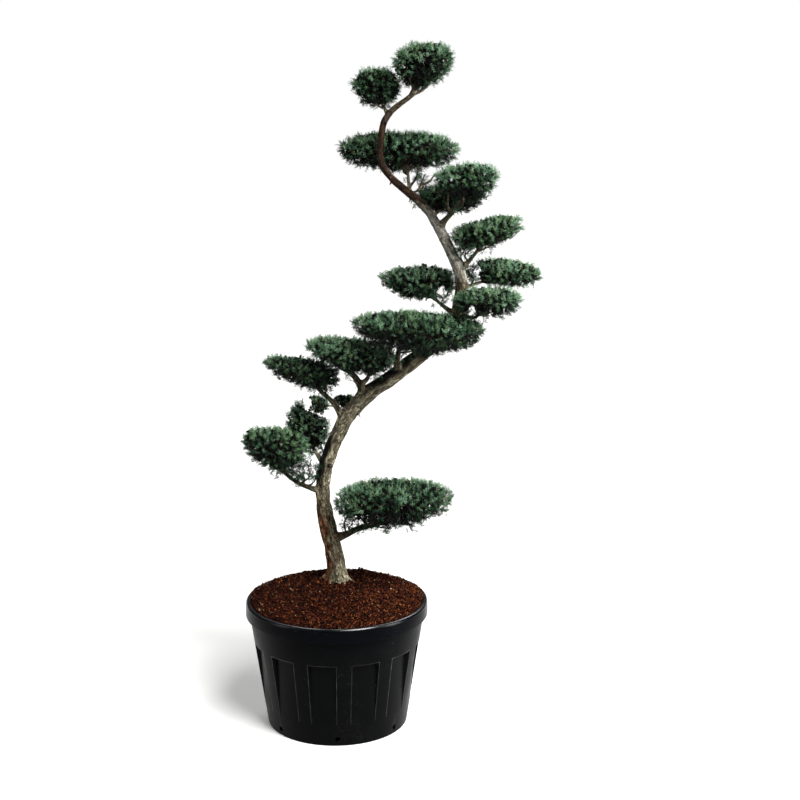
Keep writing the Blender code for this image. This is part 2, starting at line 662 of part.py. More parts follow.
def grow_sprays(mass, core, masses, limbs, pieces):
    """Sprays set evenly over the core, each leaning outwards and a little up."""
    placed = []
    size = min(1.0, mass.across / FULL_SPRAY_SIZE)
    length = SPRAY_LENGTH * size
    for index in range(SPRAY_TRIES):
        direction = mass.random_direction()
        reach = mass.random.uniform(*SPRAY_REACH)
        if index < len(FURTHEST):
            direction, reach = Vector(FURTHEST[index]), 1.0
        tip = mass.point(direction, reach)
        sway = Vector([mass.random.uniform(-SPRAY_SWAY, SPRAY_SWAY) for _ in range(3)])
        root = core.point(direction, SPRAY_ROOT) + sway - Vector((0, 0, SPRAY_RISE))
        roll = mass.random.uniform(0, math.pi)
        if any((tip - other).length < SPRAY_SPACING * size for other in placed):
            continue
        inwards = (root - tip).normalized()
        root = tip + inwards * min(max((root - tip).length, length), LONGEST_SPRAY * length)
        if core.depth(root) > SPRAY_SINK:
            continue
        frame = spray_frame(root, tip, roll)
        rim = [frame @ Vector((reach, side, 0.0)) for reach, side in SPRAY_TEETH]
        if not has_room(mass, masses, limbs, rim + steps_between(root, tip, 6)):
            continue
        placed.append(tip)
        spray(frame, pieces)
    return len(placed)


def grow_shoots(mass, core, pieces):
    """The few loose sprays that stand out of the clipped form."""
    for tip in SHOOTS.get(mass.name, ()):
        tip = Vector(tip)
        way = [tip.lerp(mass.centre, index / SHOOT_STEPS) for index in range(1, SHOOT_STEPS)]
        root = next(point for point in way if core.depth(point) < SPRAY_SINK)
        spray(spray_frame(root, tip, mass.random.uniform(0, math.pi)), pieces)


def core_object(core, collection):
    """The dense inside of a mass, slightly lumpy."""
    bm = bmesh.new()
    bmesh.ops.create_icosphere(bm, subdivisions=2, radius=1.0)
    for vertex in bm.verts:
        direction = vertex.co.normalized()
        lumps = 1.0 + CORE_LUMPS * noise.noise(direction * CORE_LUMP_SCALE + core.centre * CORE_LUMP_SHIFT)
        vertex.co = core.point(direction, min(lumps, CORE_MOST))
    return object_from_bmesh(core.name, bm, collection)


def make_mass(mass, masses, limb_objects, limb_routes, bough_end, parts, cutters, pieces, material):
    """One mass: its core, cut clear of the limbs, with stem, twigs and sprays fused on."""
    core = mass.core()
    obj = core_object(core, parts)
    obj.data.materials.append(material)
    for name, route in limb_routes.items():
        if any(core.depth(Vector(item[:3])) < NEAR_CORE for item in route):
            grown_copy(limb_objects[name], LIMB_MARGIN, cutters)
    if cutters.objects:
        boolean_with(obj, cutters, "DIFFERENCE")
        discard(cutters.objects)
        keep_largest_body(obj)
    x, y, z, girth = bough_end[-1]
    onwards = (Vector((x, y, z)) - Vector(bough_end[-2][:3])).normalized()
    stem_start = Vector((x, y, z)) + onwards * TOUCH
    reaches = [STEM_STEP * (index + 1) for index in range(STEM_STEPS)]
    stem_end = min((stem_start + onwards * reach for reach in reaches), key=core.depth)
    taper("stem", stem_start, stem_end, girth / 2, girth / 4, 5, pieces)
    limbs = list(limb_routes.values())
    grow_twigs(mass, core, masses, limbs, stem_start, stem_end, pieces)
    count = grow_sprays(mass, core, masses, limbs, pieces)
    grow_shoots(mass, core, pieces)
    boolean_with(obj, pieces, "UNION")
    discard(pieces.objects)
    keep_largest_body(obj)
    print(f"{mass.name}: {count} sprays, {len(obj.data.polygons)} triangles")
    return obj


def trimmed(route, core, reach):
    """The route up to the point that is the given distance short of the core."""
    kept = []
    for item in route:
        point = Vector(item[:3])
        inwards = (core.centre - point).normalized()
        if len(kept) > 2 and core.depth(point + inwards * reach) < 1.0:
            break
        kept.append(item)
    return kept


def main():
    clear_scene()
    parts = new_collection("cypress_bonsai")
    cutters = new_collection("cutters")
    pieces = new_collection("mass_pieces")
    bark = new_material("bark", BARK, 0.85)
    foliage = new_material("foliage", FOLIAGE, 0.75)
    plastic = new_material("pot_plastic", PLASTIC, 0.42)
    mulch = new_material("mulch", MULCH, 0.95)

    make_pot(parts, cutters, plastic)
    make_soil(parts, mulch)

    masses = [Mass(name) for name in MASSES]
    by_name = {mass.name: mass for mass in masses}
    limb_objects = {}
    limb_routes = {}

    tip_core = by_name[TRUNK_TIP_MASS].core()
    route = trimmed(smooth_route(TRUNK, TRUNK_STEP), tip_core, TUFT_STEM_REACH)
    coarse = route[:-1:STEPS_PER_RING] + [route[-1]]
    trunk = limb_object("trunk", coarse, TRUNK_SIDES, parts, bark)
    roughen(trunk, route)
    smooth_by_angle(trunk, 60)
    limb_objects["trunk"] = trunk
    limb_routes["trunk"] = route
    carried = {TRUNK_TIP_MASS: coarse}

    for name, (parent, mass_name, girth_start, girth_end, bends) in BOUGHS.items():
        last = len(bends) - 1
        stations = [(*bend, girth_start + (girth_end - girth_start) * index / last)
                    for index, bend in enumerate(bends)]
        core = by_name[mass_name].core()
        reach = TUFT_STEM_REACH if mass_name.startswith(("tuft", "ball")) else STEM_REACH
        if mass_name in carried:
            reach = SPUR_REACH
        route = trimmed(smooth_route(stations, BOUGH_STEP), core, reach)
        coarse = route[:-1:STEPS_PER_RING] + [route[-1]]
        bough = limb_object(name, coarse, BOUGH_SIDES, parts, bark)
        triangulate(bough)
        for cutter in {"trunk", parent}:
            grown_copy(limb_objects[cutter], TOUCH, cutters)
        boolean_with(bough, cutters, "DIFFERENCE")
        discard(cutters.objects)
        keep_largest_body(bough)
        smooth_by_angle(bough, 60)
        limb_objects[name] = bough
        limb_routes[name] = route
        carried.setdefault(mass_name, coarse)

    for mass in masses:
        make_mass(mass, masses, limb_objects, limb_routes, carried[mass.name],
                  parts, cutters, pieces, foliage)
    total = sum(len(obj.data.polygons) for obj in parts.objects)
    print(f"{len(parts.objects)} objects, {total} faces")


main()
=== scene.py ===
import math

import bmesh
import bpy
import numpy as np
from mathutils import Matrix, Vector, noise


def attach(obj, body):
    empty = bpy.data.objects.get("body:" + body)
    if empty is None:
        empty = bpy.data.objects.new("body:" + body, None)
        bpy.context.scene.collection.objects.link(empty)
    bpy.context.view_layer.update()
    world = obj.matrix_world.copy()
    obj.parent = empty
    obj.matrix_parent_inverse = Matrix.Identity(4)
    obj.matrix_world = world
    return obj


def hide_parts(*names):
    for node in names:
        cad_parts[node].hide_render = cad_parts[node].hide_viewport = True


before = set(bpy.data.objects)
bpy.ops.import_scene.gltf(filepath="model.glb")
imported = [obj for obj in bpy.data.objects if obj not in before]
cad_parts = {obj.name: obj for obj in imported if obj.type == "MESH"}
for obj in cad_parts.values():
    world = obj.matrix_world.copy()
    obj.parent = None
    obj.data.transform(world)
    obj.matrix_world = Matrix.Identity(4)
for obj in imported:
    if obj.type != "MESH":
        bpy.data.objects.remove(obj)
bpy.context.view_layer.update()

# Potted cypress trained into clipped pads: bark, sprays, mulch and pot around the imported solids.
# Metres, +Z up, the plant's front faces -Y.


def linearColour(hexText):
    parts = [int(hexText[start:start + 2], 16) / 255 for start in (1, 3, 5)]
    return [((part + 0.055) / 1.055) ** 2.4 if part > 0.04045 else part / 12.92 for part in parts]


def rgba(hexText):
    return (*linearColour(hexText), 1.0)


def addNode(tree, kind, sockets, **settings):
    node = tree.nodes.new("ShaderNode" + kind)
    for name, value in settings.items():
        if name == "stops":                     # places and colours along a colour ramp
            ramp = node.color_ramp.elements
            for index, (place, colour) in enumerate(value):
                stop = ramp[index] if index < 2 else ramp.new(place)
                stop.position = place
                stop.color = colour
        else:
            setattr(node, name, value)
    for name, value in sockets.items():
        if isinstance(value, bpy.types.NodeSocket):
            tree.links.new(value, node.inputs[name])
        else:
            node.inputs[name].default_value = value
    return node


def newMaterial(name, colour, roughness, sockets):
    material = bpy.data.materials.new(name)
    material.use_nodes = True
    shader = material.node_tree.nodes["Principled BSDF"]
    shader.inputs["Base Color"].default_value = rgba(colour)
    shader.inputs["Roughness"].default_value = roughness
    for socket, value in sockets.items():
        shader.inputs[socket].default_value = value
    return material, material.node_tree, shader


def deselectAll():
    if bpy.context.mode != "OBJECT":
        bpy.ops.object.mode_set(mode="OBJECT")
    bpy.ops.object.select_all(action="DESELECT")


def activate(obj):
    deselectAll()
    obj.select_set(True)
    bpy.context.view_layer.objects.active = obj


def applyModifier(obj, kind, settings):
    activate(obj)
    modifier = obj.modifiers.new(kind.title(), kind)
    for name, value in settings.items():
        setattr(modifier, name, value)
    bpy.ops.object.modifier_apply(modifier=modifier.name)


def pieceFromArrays(name, points, triangles, materials, slots=None):
    mesh = bpy.data.meshes.new(name)
    mesh.vertices.add(len(points))
    mesh.vertices.foreach_set("co", np.asarray(points, np.float32).ravel())
    mesh.loops.add(triangles.size)
    mesh.loops.foreach_set("vertex_index", np.asarray(triangles, np.int32).ravel())
    mesh.polygons.add(len(triangles))
    mesh.polygons.foreach_set("loop_start", np.arange(0, triangles.size, 3, dtype=np.int32))
    for material in materials:
        mesh.materials.append(material)
    if slots is not None:
        mesh.polygons.foreach_set("material_index", np.asarray(slots, np.int32))
    mesh.update(calc_edges=True)
    piece = bpy.data.objects.new(name, mesh)
    bpy.context.scene.collection.objects.link(piece)
    return piece


def joined(parts):
    # several (points, triangles) pairs as one
    points = []
    triangles = []
    count = 0
    for somePoints, someTriangles in parts:
        points.append(somePoints)
        triangles.append(someTriangles + count)
        count += len(somePoints)
    return np.concatenate(points), np.concatenate(triangles)


def finishPiece(piece, slot, *nodes):
    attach(piece, "root")
    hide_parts(*nodes)
    print(f"{piece.name}: {sum(len(face.vertices) - 2 for face in piece.data.polygons)} triangles")


def unit(vectors):
    return vectors / np.maximum(np.linalg.norm(vectors, axis=-1, keepdims=True), 1e-9)


def lengthAlong(points):
    # distance from the first point to each, along the line through them
    return np.concatenate(([0.0], np.cumsum(np.linalg.norm(np.diff(points, axis=0), axis=1))))


def ringWays(sideA, sideB, sides):
    # from each point of a route, the ways to the corners of its ring
    angles = np.arange(sides) * math.tau / sides
    return np.cos(angles)[None, :, None] * sideA[:, None] + np.sin(angles)[None, :, None] * sideB[:, None]


def tubeFaces(steps, sides):
    # triangles of a tube made of rings, with a point at each end listed after them
    rim = np.arange(sides)
    after = (rim + 1) % sides
    here = np.arange(steps - 1)[:, None] * sides + rim
    beside = np.arange(steps - 1)[:, None] * sides + after
    top = (steps - 1) * sides
    tip = np.full(sides, steps * sides)
    return np.concatenate((np.stack((here, beside, beside + sides), -1).reshape(-1, 3),
                           np.stack((here, beside + sides, here + sides), -1).reshape(-1, 3),
                           np.stack((after, rim, tip), -1),
                           np.stack((top + rim, top + after, tip + 1), -1)))


def repeated(count, each, faces):
    # the same faces for every one of so many copies, each with so many points
    return (np.arange(count)[:, None, None] * each + faces).reshape(-1, 3)


def readPoints(mesh, name="co"):
    values = np.zeros(len(mesh.vertices) * 3)
    mesh.vertices.foreach_get(name, values)
    return values.reshape(-1, 3)


def noiseAt(points, size, shift=(0, 0, 0)):
    return np.array([noise.noise(Vector(point) / size + Vector(shift)) for point in points])


def capRim(obj):
    # in edit mode, one face across the edges that have a face on one side only
    bpy.ops.mesh.select_mode(type="EDGE")
    bpy.ops.mesh.select_all(action="DESELECT")
    mesh = bmesh.from_edit_mesh(obj.data)
    for edge in mesh.edges:
        edge.select_set(edge.is_boundary)
    bmesh.update_edit_mesh(obj.data)
    bpy.ops.mesh.edge_face_add()


def extrudeRing(rise, scale):
    # a new ring from the selected one, higher by the rise and wider by the scale
    bpy.ops.mesh.extrude_edges_move(TRANSFORM_OT_translate={"value": (0, 0, rise)})
    bpy.ops.transform.resize(value=(scale, scale, 1), center_override=(0, 0, 0))


def smoothStep(low, high, value):
    share = np.clip((value - low) / (high - low), 0.0, 1.0)
    return share * share * (3.0 - 2.0 * share)


# Trunk and boughs, as the solids have them: x, y, z and girth across at each bend
trunk = {
    "bends": (
        (-0.004, 0.130, 0.590, 0.086), (-0.004, 0.130, 0.625, 0.083), (-0.016, 0.125, 0.720, 0.080),
        (-0.041, 0.115, 0.828, 0.074), (-0.061, 0.104, 0.965, 0.066), (-0.060, 0.098, 1.060, 0.063),
        (-0.026, 0.085, 1.188, 0.062), (0.012, 0.075, 1.278, 0.065), (0.044, 0.068, 1.344, 0.068),
        (0.124, 0.062, 1.438, 0.070), (0.222, 0.062, 1.508, 0.067), (0.383, 0.085, 1.630, 0.064),
        (0.500, 0.075, 1.740, 0.062), (0.534, 0.030, 1.875, 0.058), (0.532, 0.012, 1.960, 0.052),
        (0.508, 0.003, 2.030, 0.048), (0.443, 0.000, 2.162, 0.043), (0.378, -0.005, 2.259, 0.036),
        (0.240, -0.020, 2.380, 0.030), (0.196, -0.032, 2.460, 0.029), (0.203, -0.032, 2.575, 0.028),
        (0.233, -0.025, 2.644, 0.026), (0.330, -0.032, 2.724, 0.020), (0.376, -0.045, 2.784, 0.015),
    ),
    "step": 0.010,                  # between the rings of the skin before its relief
    "boughStep": 0.0075,
    "rootStep": 0.008,
    "sides": 24,
    "boughSides": 14,
    "rootSides": 12,
    "stubSides": 10,
    "tipMass": "ball_crown",
    "foot": (-0.004, 0.130, 0.590),
    "flareHeight": 0.085,
    "flare": 0.38,                  # how much wider the foot is than the trunk above it
    "flareLobes": 5,
    "collar": 0.55,                 # how much a bough swells where it leaves its limb
    "collarLength": 0.022,
    "tipGap": 0.008,                # the trunk ends this far short of its mass's core
    "boughGap": 0.003,              # and a bough this far
}

# The limb each bough grows from, the mass it carries, its girth at both ends and its bends
boughs = {
    "bough_low_right": ("trunk", "pad_low_right", 0.034, 0.021, (
        (-0.036, 0.118, 0.790), (0.024, 0.105, 0.800), (0.104, 0.085, 0.844),
        (0.191, 0.060, 0.873), (0.262, 0.035, 0.925))),
    "bough_low_left": ("trunk", "pad_low_left", 0.025, 0.014, (
        (-0.058, 0.100, 1.008), (-0.105, 0.092, 1.018), (-0.189, 0.070, 1.062),
        (-0.252, 0.035, 1.135))),
    "bough_left_crest": ("trunk", "pad_left_crest", 0.021, 0.014, (
        (-0.046, 0.090, 1.118), (-0.074, 0.106, 1.152), (-0.120, 0.140, 1.210))),
    "bough_mid_left": ("trunk", "pad_mid_left", 0.030, 0.015, (
        (0.040, 0.068, 1.335), (0.018, 0.062, 1.366), (-0.020, 0.068, 1.417),
        (-0.064, 0.075, 1.456), (-0.118, 0.080, 1.510))),
    "bough_tuft_left": ("bough_mid_left", "tuft_left", 0.008, 0.006, (
        (-0.004, 0.065, 1.396), (-0.030, 0.048, 1.398), (-0.070, 0.040, 1.404))),
    "bough_tuft_back": ("bough_mid_left", "tuft_back", 0.007, 0.006, (
        (-0.010, 0.066, 1.404), (0.004, 0.110, 1.402), (0.030, 0.150, 1.396))),
    "bough_middle": ("trunk", "pad_middle", 0.034, 0.014, (
        (0.120, 0.062, 1.434), (0.109, 0.048, 1.486), (0.068, 0.030, 1.545),
        (0.030, 0.022, 1.580), (0.020, 0.020, 1.640))),
    "spur_middle": ("bough_middle", "pad_middle", 0.019, 0.014, (
        (0.104, 0.046, 1.494), (0.128, 0.036, 1.512), (0.148, 0.028, 1.548),
        (0.152, 0.022, 1.590))),
    "bough_broad": ("trunk", "pad_broad", 0.030, 0.020, (
        (0.272, 0.070, 1.546), (0.264, 0.030, 1.600), (0.280, -0.040, 1.700))),
    "spur_broad": ("trunk", "pad_broad", 0.028, 0.018, (
        (0.400, 0.085, 1.646), (0.440, 0.030, 1.650), (0.492, -0.020, 1.690))),
    "bough_upper_left": ("trunk", "pad_upper_left", 0.021, 0.013, (
        (0.518, 0.056, 1.797), (0.488, 0.085, 1.808), (0.440, 0.110, 1.842),
        (0.395, 0.124, 1.870))),
    "bough_right_front": ("trunk", "pad_right_front", 0.019, 0.012, (
        (0.520, 0.052, 1.800), (0.558, -0.002, 1.796), (0.592, -0.050, 1.800),
        (0.632, -0.105, 1.850))),
    "bough_right_back": ("trunk", "pad_right_back", 0.018, 0.011, (
        (0.535, 0.024, 1.893), (0.562, 0.050, 1.915), (0.620, 0.090, 1.930),
        (0.690, 0.118, 1.950))),
    "bough_right_high": ("trunk", "pad_right_high", 0.022, 0.014, (
        (0.526, 0.008, 1.988), (0.548, -0.002, 2.012), (0.590, -0.006, 2.062),
        (0.640, -0.010, 2.130))),
    "bough_top_front": ("trunk", "pad_top_front", 0.028, 0.018, (
        (0.440, 0.000, 2.166), (0.456, -0.018, 2.196), (0.502, -0.055, 2.252),
        (0.535, -0.090, 2.330))),
    "bough_top_back": ("trunk", "pad_top_back", 0.019, 0.012, (
        (0.400, -0.003, 2.230), (0.428, 0.050, 2.226), (0.462, 0.110, 2.262))),
    "bough_top_left": ("trunk", "pad_top_left", 0.019, 0.012, (
        (0.330, -0.010, 2.300), (0.314, 0.030, 2.340), (0.306, 0.090, 2.440))),
    "bough_ball_left": ("trunk", "ball_left", 0.014, 0.010, (
        (0.229, -0.026, 2.636), (0.208, -0.006, 2.674), (0.188, 0.010, 2.730))),
}

# Cut stubs and knots on the wood: foot, end, girth at both ends
stubs = (
    ((-0.030, 0.090, 0.895), (-0.034, 0.060, 0.903), 0.020, 0.014),
    ((-0.060, 0.092, 0.850), (-0.076, 0.084, 0.853), 0.020, 0.014),
    ((-0.030, 0.070, 1.128), (-0.024, 0.044, 1.134), 0.022, 0.015),
    ((0.090, 0.055, 1.372), (0.108, 0.018, 1.350), 0.010, 0.004),
    ((0.386, 0.060, 1.622), (0.392, 0.040, 1.604), 0.022, 0.012),
    ((0.212, -0.030, 2.600), (0.222, -0.052, 2.606), 0.014, 0.008),
    ((0.246, -0.020, 2.372), (0.232, -0.036, 2.350), 0.014, 0.007),
    ((0.330, -0.008, 2.300), (0.312, -0.024, 2.280), 0.012, 0.007),
    ((0.470, 0.000, 2.110), (0.456, -0.028, 2.112), 0.018, 0.012),
    ((0.040, 0.100, 1.330), (0.062, 0.124, 1.318), 0.020, 0.012),
    ((0.530, 0.050, 1.840), (0.512, 0.074, 1.846), 0.020, 0.013),
)

# Roots that show at the foot before they dive into the mulch: girth at both ends, bends
roots = (
    (0.022, 0.009, (
        (0.000, 0.112, 0.640), (0.014, 0.094, 0.610), (0.026, 0.080, 0.590), (0.042, 0.064, 0.574))),
    (0.024, 0.009, (
        (0.012, 0.124, 0.636), (0.040, 0.112, 0.610), (0.062, 0.104, 0.592), (0.088, 0.094, 0.574))),
    (0.020, 0.008, (
        (-0.020, 0.110, 0.640), (-0.030, 0.092, 0.610), (-0.036, 0.078, 0.588), (-0.044, 0.062, 0.572))),
    (0.024, 0.009, (
        (-0.026, 0.130, 0.640), (-0.052, 0.130, 0.610), (-0.078, 0.136, 0.592), (-0.104, 0.144, 0.573))),
    (0.024, 0.009, (
        (0.002, 0.150, 0.640), (0.014, 0.180, 0.610), (0.022, 0.204, 0.592), (0.032, 0.232, 0.573))),
    (0.020, 0.008, (
        (-0.018, 0.150, 0.640), (-0.036, 0.176, 0.608), (-0.050, 0.196, 0.590), (-0.066, 0.216, 0.573))),
)


def smoothRoute(bends, step):
    # points, with any further values, along a smooth curve through the bends
    route = []
    for index in range(len(bends) - 1):
        first = np.array(bends[index])
        last = np.array(bends[index + 1])
        before = np.array(bends[index - 1]) if index else 2 * first - last
        after = np.array(bends[index + 2]) if index + 2 < len(bends) else 2 * last - first
        count = max(1, round(np.linalg.norm(last[:3] - first[:3]) / step))
        for part in range(count):
            t = part / count
            curve = (2 * before - 5 * first + 4 * last - after) * t * t
            curve += (3 * first - before - 3 * last + after) * t ** 3
            route.append(0.5 * (2 * first + (last - before) * t + curve))
    route.append(np.array(bends[-1]))
    return np.array(route)


# Clipped masses: middle of the widest level, half widths along x and y, height above that
# level, depth below it, tilt in degrees (up towards +X), lean of the belly towards +X
masses = {
    "pad_low_right": ((0.249, 0.030, 0.991), (0.262, 0.190), 0.076, 0.114, 1, -0.030),
    "pad_low_left": ((-0.265, -0.010, 1.252), (0.142, 0.120), 0.066, 0.128, -3, 0.035),
    "pad_left_crest": ((-0.130, 0.152, 1.277), (0.100, 0.098), 0.126, 0.104, 0, 0.010),
    "tuft_left": ((-0.078, 0.036, 1.408), (0.054, 0.045), 0.040, 0.042, -12, 0.010),
    "tuft_back": ((0.034, 0.152, 1.396), (0.052, 0.045), 0.034, 0.034, 0, 0.0),
    "pad_mid_left": ((-0.146, 0.085, 1.556), (0.170, 0.130), 0.044, 0.080, -10, 0.045),
    "pad_middle": ((0.061, 0.015, 1.650), (0.198, 0.145), 0.050, 0.098, -7, 0.055),
    "pad_broad": ((0.354, -0.105, 1.775), (0.284, 0.195), 0.050, 0.112, -3, 0.010),
    "pad_upper_left": ((0.350, 0.150, 1.939), (0.170, 0.135), 0.055, 0.096, 2, 0.040),
    "pad_right_front": ((0.638, -0.130, 1.884), (0.150, 0.118), 0.056, 0.070, 0, 0.0),
    "pad_right_back": ((0.732, 0.140, 1.966), (0.166, 0.122), 0.058, 0.060, -5, 0.0),
    "pad_right_high": ((0.637, -0.010, 2.169), (0.158, 0.128), 0.044, 0.078, 13, 0.0),
    "pad_top_front": ((0.546, -0.110, 2.382), (0.135, 0.118), 0.066, 0.096, 5, 0.0),
    "pad_top_back": ((0.487, 0.142, 2.290), (0.153, 0.122), 0.058, 0.072, 2, 0.0),
    "pad_top_left": ((0.267, 0.135, 2.490), (0.262, 0.160), 0.078, 0.092, 0, 0.0),
    "ball_left": ((0.184, 0.012, 2.757), (0.106, 0.098), 0.076, 0.084, 0, 0.0),
    "ball_crown": ((0.372, -0.045, 2.856), (0.132, 0.112), 0.078, 0.112, 9, -0.020),
}
domePower = 2.5                     # roundness of the top: 2 is an ellipse, more is flatter
bellyPower = 2.1
coreInset = 0.016                   # the solids' cores lie this far inside the clipped form
coreLeast = 0.70
coreDome = 0.90


class PadForm:
    # a low dome over a belly that narrows downwards, the same as in the solids

    def __init__(self, name, inner=False):
        centre, (along, across), dome, belly, tilt, lean = masses[name]
        if inner:
            along = max(along - coreInset, coreLeast * along)
            across = max(across - coreInset, coreLeast * across)
            dome, belly, lean = dome * coreDome, belly * coreDome, lean * coreDome
        self.name = name
        self.centre = np.array(centre)
        self.widths = np.array((along, across))
        self.dome = dome
        self.belly = belly
        self.lean = lean
        self.small = min(1.0, (across / 0.10) ** 0.5)       # shorter sprays on the small masses
        angle = math.radians(tilt)
        self.turn = np.array(((math.cos(angle), 0, -math.sin(angle)), (0, 1, 0),
                              (math.sin(angle), 0, math.cos(angle))))

    def points(self, directions, scale=1.0):
        z = directions[..., 2]
        power = np.where(z > 0, domePower, bellyPower)
        level = np.hypot(directions[..., 0], directions[..., 1])
        reach = scale / (level ** power + np.abs(z) ** power) ** (1 / power)
        height = np.where(z > 0, self.dome, self.belly)
        local = np.stack((self.widths[0] * directions[..., 0], self.widths[1] * directions[..., 1],
                          height * z), axis=-1) * reach[..., None]
        local[..., 0] += self.lean * np.maximum(-local[..., 2], 0.0) / self.belly
        return self.centre + local @ self.turn.T

    def depth(self, points):
        # 0 at the middle of the form, 1 on its surface and more outside it
        local = (points - self.centre) @ self.turn
        z = local[..., 2]
        height = np.where(z > 0, self.dome, self.belly)
        x = local[..., 0] - self.lean * np.maximum(-z, 0.0) / self.belly
        power = np.where(z > 0, domePower, bellyPower)
        level = np.hypot(x / self.widths[0], local[..., 1] / self.widths[1])
        return (level ** power + np.abs(z / height) ** power) ** (1 / power)

    def outwards(self, points):
        step = 0.002
        slope = [self.depth(points + move) - self.depth(points - move) for move in np.eye(3) * step]
        return unit(np.stack(slope, axis=-1))


def trimmedRoute(route, core, reach):
    # the route up to the point that is the given distance short of the core
    inwards = unit(core.centre - route[:, :3])
    inside = core.depth(route[:, :3] + inwards * reach) < 1.0
    inside[:3] = False
    return route[:np.argmax(inside)] if inside.any() else route


def limbRoutes():
    routes = {}
    core = PadForm(trunk["tipMass"], True)
    routes["trunk"] = trimmedRoute(smoothRoute(trunk["bends"], trunk["step"]), core, trunk["tipGap"])
    for name, (parent, mass, girthStart, girthEnd, bends) in boughs.items():
        last = len(bends) - 1
        stations = [(*bend, girthStart + (girthEnd - girthStart) * index / last)
                    for index, bend in enumerate(bends)]
        core = PadForm(mass, True)
        routes[name] = trimmedRoute(smoothRoute(stations, trunk["boughStep"]), core, trunk["boughGap"])
    return routes


def routeFrames(points):
    # along and two sides at each point, carried on without a twist
    along = unit(np.gradient(points, axis=0))
    sides = np.zeros_like(along)
    guide = np.array((0.0, -1.0, 0.0)) if abs(along[0, 1]) < 0.8 else np.array((1.0, 0.0, 0.0))
    for index, way in enumerate(along):
        guide = guide - way * (guide @ way)
        guide = guide / np.linalg.norm(guide)
        sides[index] = guide
    return along, sides, np.cross(along, sides)


def sweptLimb(route, sides, radii):
    # a round limb closed at both ends
    points = route[:, :3]
    _, sideA, sideB = routeFrames(points)
    rings = points[:, None] + ringWays(sideA, sideB, sides) * radii[:, None, None]
    vertices = np.concatenate((rings.reshape(-1, 3), points[:1], points[-1:]))
    return vertices, tubeFaces(len(points), sides)


def trunkSkin(routes):
    # trunk with its root flare, boughs with their collars and the cut stubs, all overlapping
    parts = []
    for name, route in routes.items():
        radii = route[:, 3] / 2
        if name != "trunk":
            parent = routes[boughs[name][0]]
            nearest = np.argmin(np.linalg.norm(parent[:, :3] - route[0, :3], axis=1))
            out = np.maximum(lengthAlong(route[:, :3]) - parent[nearest, 3] / 2, 0.0)
            radii = radii * (1 + trunk["collar"] * np.exp(-out / trunk["collarLength"]))
        sides = trunk["sides"] if name == "trunk" else trunk["boughSides"]
        points, triangles = sweptLimb(route, sides, radii)
        if name == "trunk":
            spreadFoot(points, route)
        parts.append((points, triangles))
    for girthStart, girthEnd, bends in roots:
        route = smoothRoute(bends, trunk["rootStep"])
        parts.append(sweptLimb(route, trunk["rootSides"], np.linspace(girthStart, girthEnd, len(route)) / 2))
    for foot, end, girthFoot, girthEnd in stubs:
        line = np.linspace(np.array((*foot, girthFoot)), np.array((*end, girthEnd)), 5)
        parts.append(sweptLimb(line, trunk["stubSides"], line[:, 3] / 2))
    return joined(parts)


def spreadFoot(points, route):
    # widens the trunk in lobes towards the mulch, and sinks its end a little way in
    foot = np.array(trunk["foot"])
    for point in points:
        above = point[2] - foot[2]
        if above < trunk["flareHeight"]:
            middle = route[np.argmin(np.abs(route[:, 2] - point[2]))][:3]
            out = point - middle
            out[2] = 0.0
            spread = (1 - max(above, 0.0) / trunk["flareHeight"]) ** 2
            angle = math.atan2(out[1], out[0])
            point += out * trunk["flare"] * spread * (0.75 + 0.25 * math.cos(trunk["flareLobes"] * angle + 1))
    points[points[:, 2] < foot[2] + 0.0003, 2] = foot[2] - 0.004


bark = {
    "voxel": 0.0031,
    "plateDepth": 0.0026,
    "flakeHeight": 0.0018,
    "lumps": 0.0030,
    "ashen": "#c6bc9e",             # grey-beige plates of the middle trunk
    "olive": "#91876a",
    "redBrown": "#9c6746",          # where old bark has peeled
    "deepBrown": "#3e2c20",
    "paleSmooth": "#d9d4c8",
    # near black: cracks and dark bark, and painted shade on the trunk's left side
    "blackShadeAndStain": "#0a0907",
    "ringScars": ((0.446, 2.118), (0.530, 1.935), (0.492, 2.062), (0.535, 1.850)),      # x and z
    "scarHeight": 0.0016,
    "scarWidth": 0.004,
    "fullRelief": 0.030,            # limbs of this radius or more have the whole relief
    "limbShift": 1.7,               # sets the pattern of each limb apart from the next
}

# Heights between which each kind of bark, and each painted shade, sets in on the trunk, and gives way again
barkHeights = {
    "peeledEnd": (0.86, 1.08),
    "brown": (0.86, 1.02), "brownEnd": (1.14, 1.30),
    "shaded": (1.66, 1.78), "shadedEnd": (1.92, 2.02),
    "pale": (1.90, 2.02), "paleEnd": (2.22, 2.33),
    "high": (2.21, 2.33), "highEnd": (2.60, 2.72),
    "leftShadeAndStain": (1.02, 1.08), "leftShadeAndStainEnd": (1.24, 1.32),
    "blackUpperSide": (1.44, 1.50), "blackUpperSideEnd": (1.72, 1.80),
    "smooth": (1.72, 1.85), "smoothEnd": (2.10, 2.22),
}

# Share of deep brown on the boughs, and on those not named here
boughDarkness = {"bough_low_right": 0.75, "bough_low_left": 0.85, "bough_middle": 0.9,
                 "bough_left_crest": 0.1}
otherDarkness = 0.6


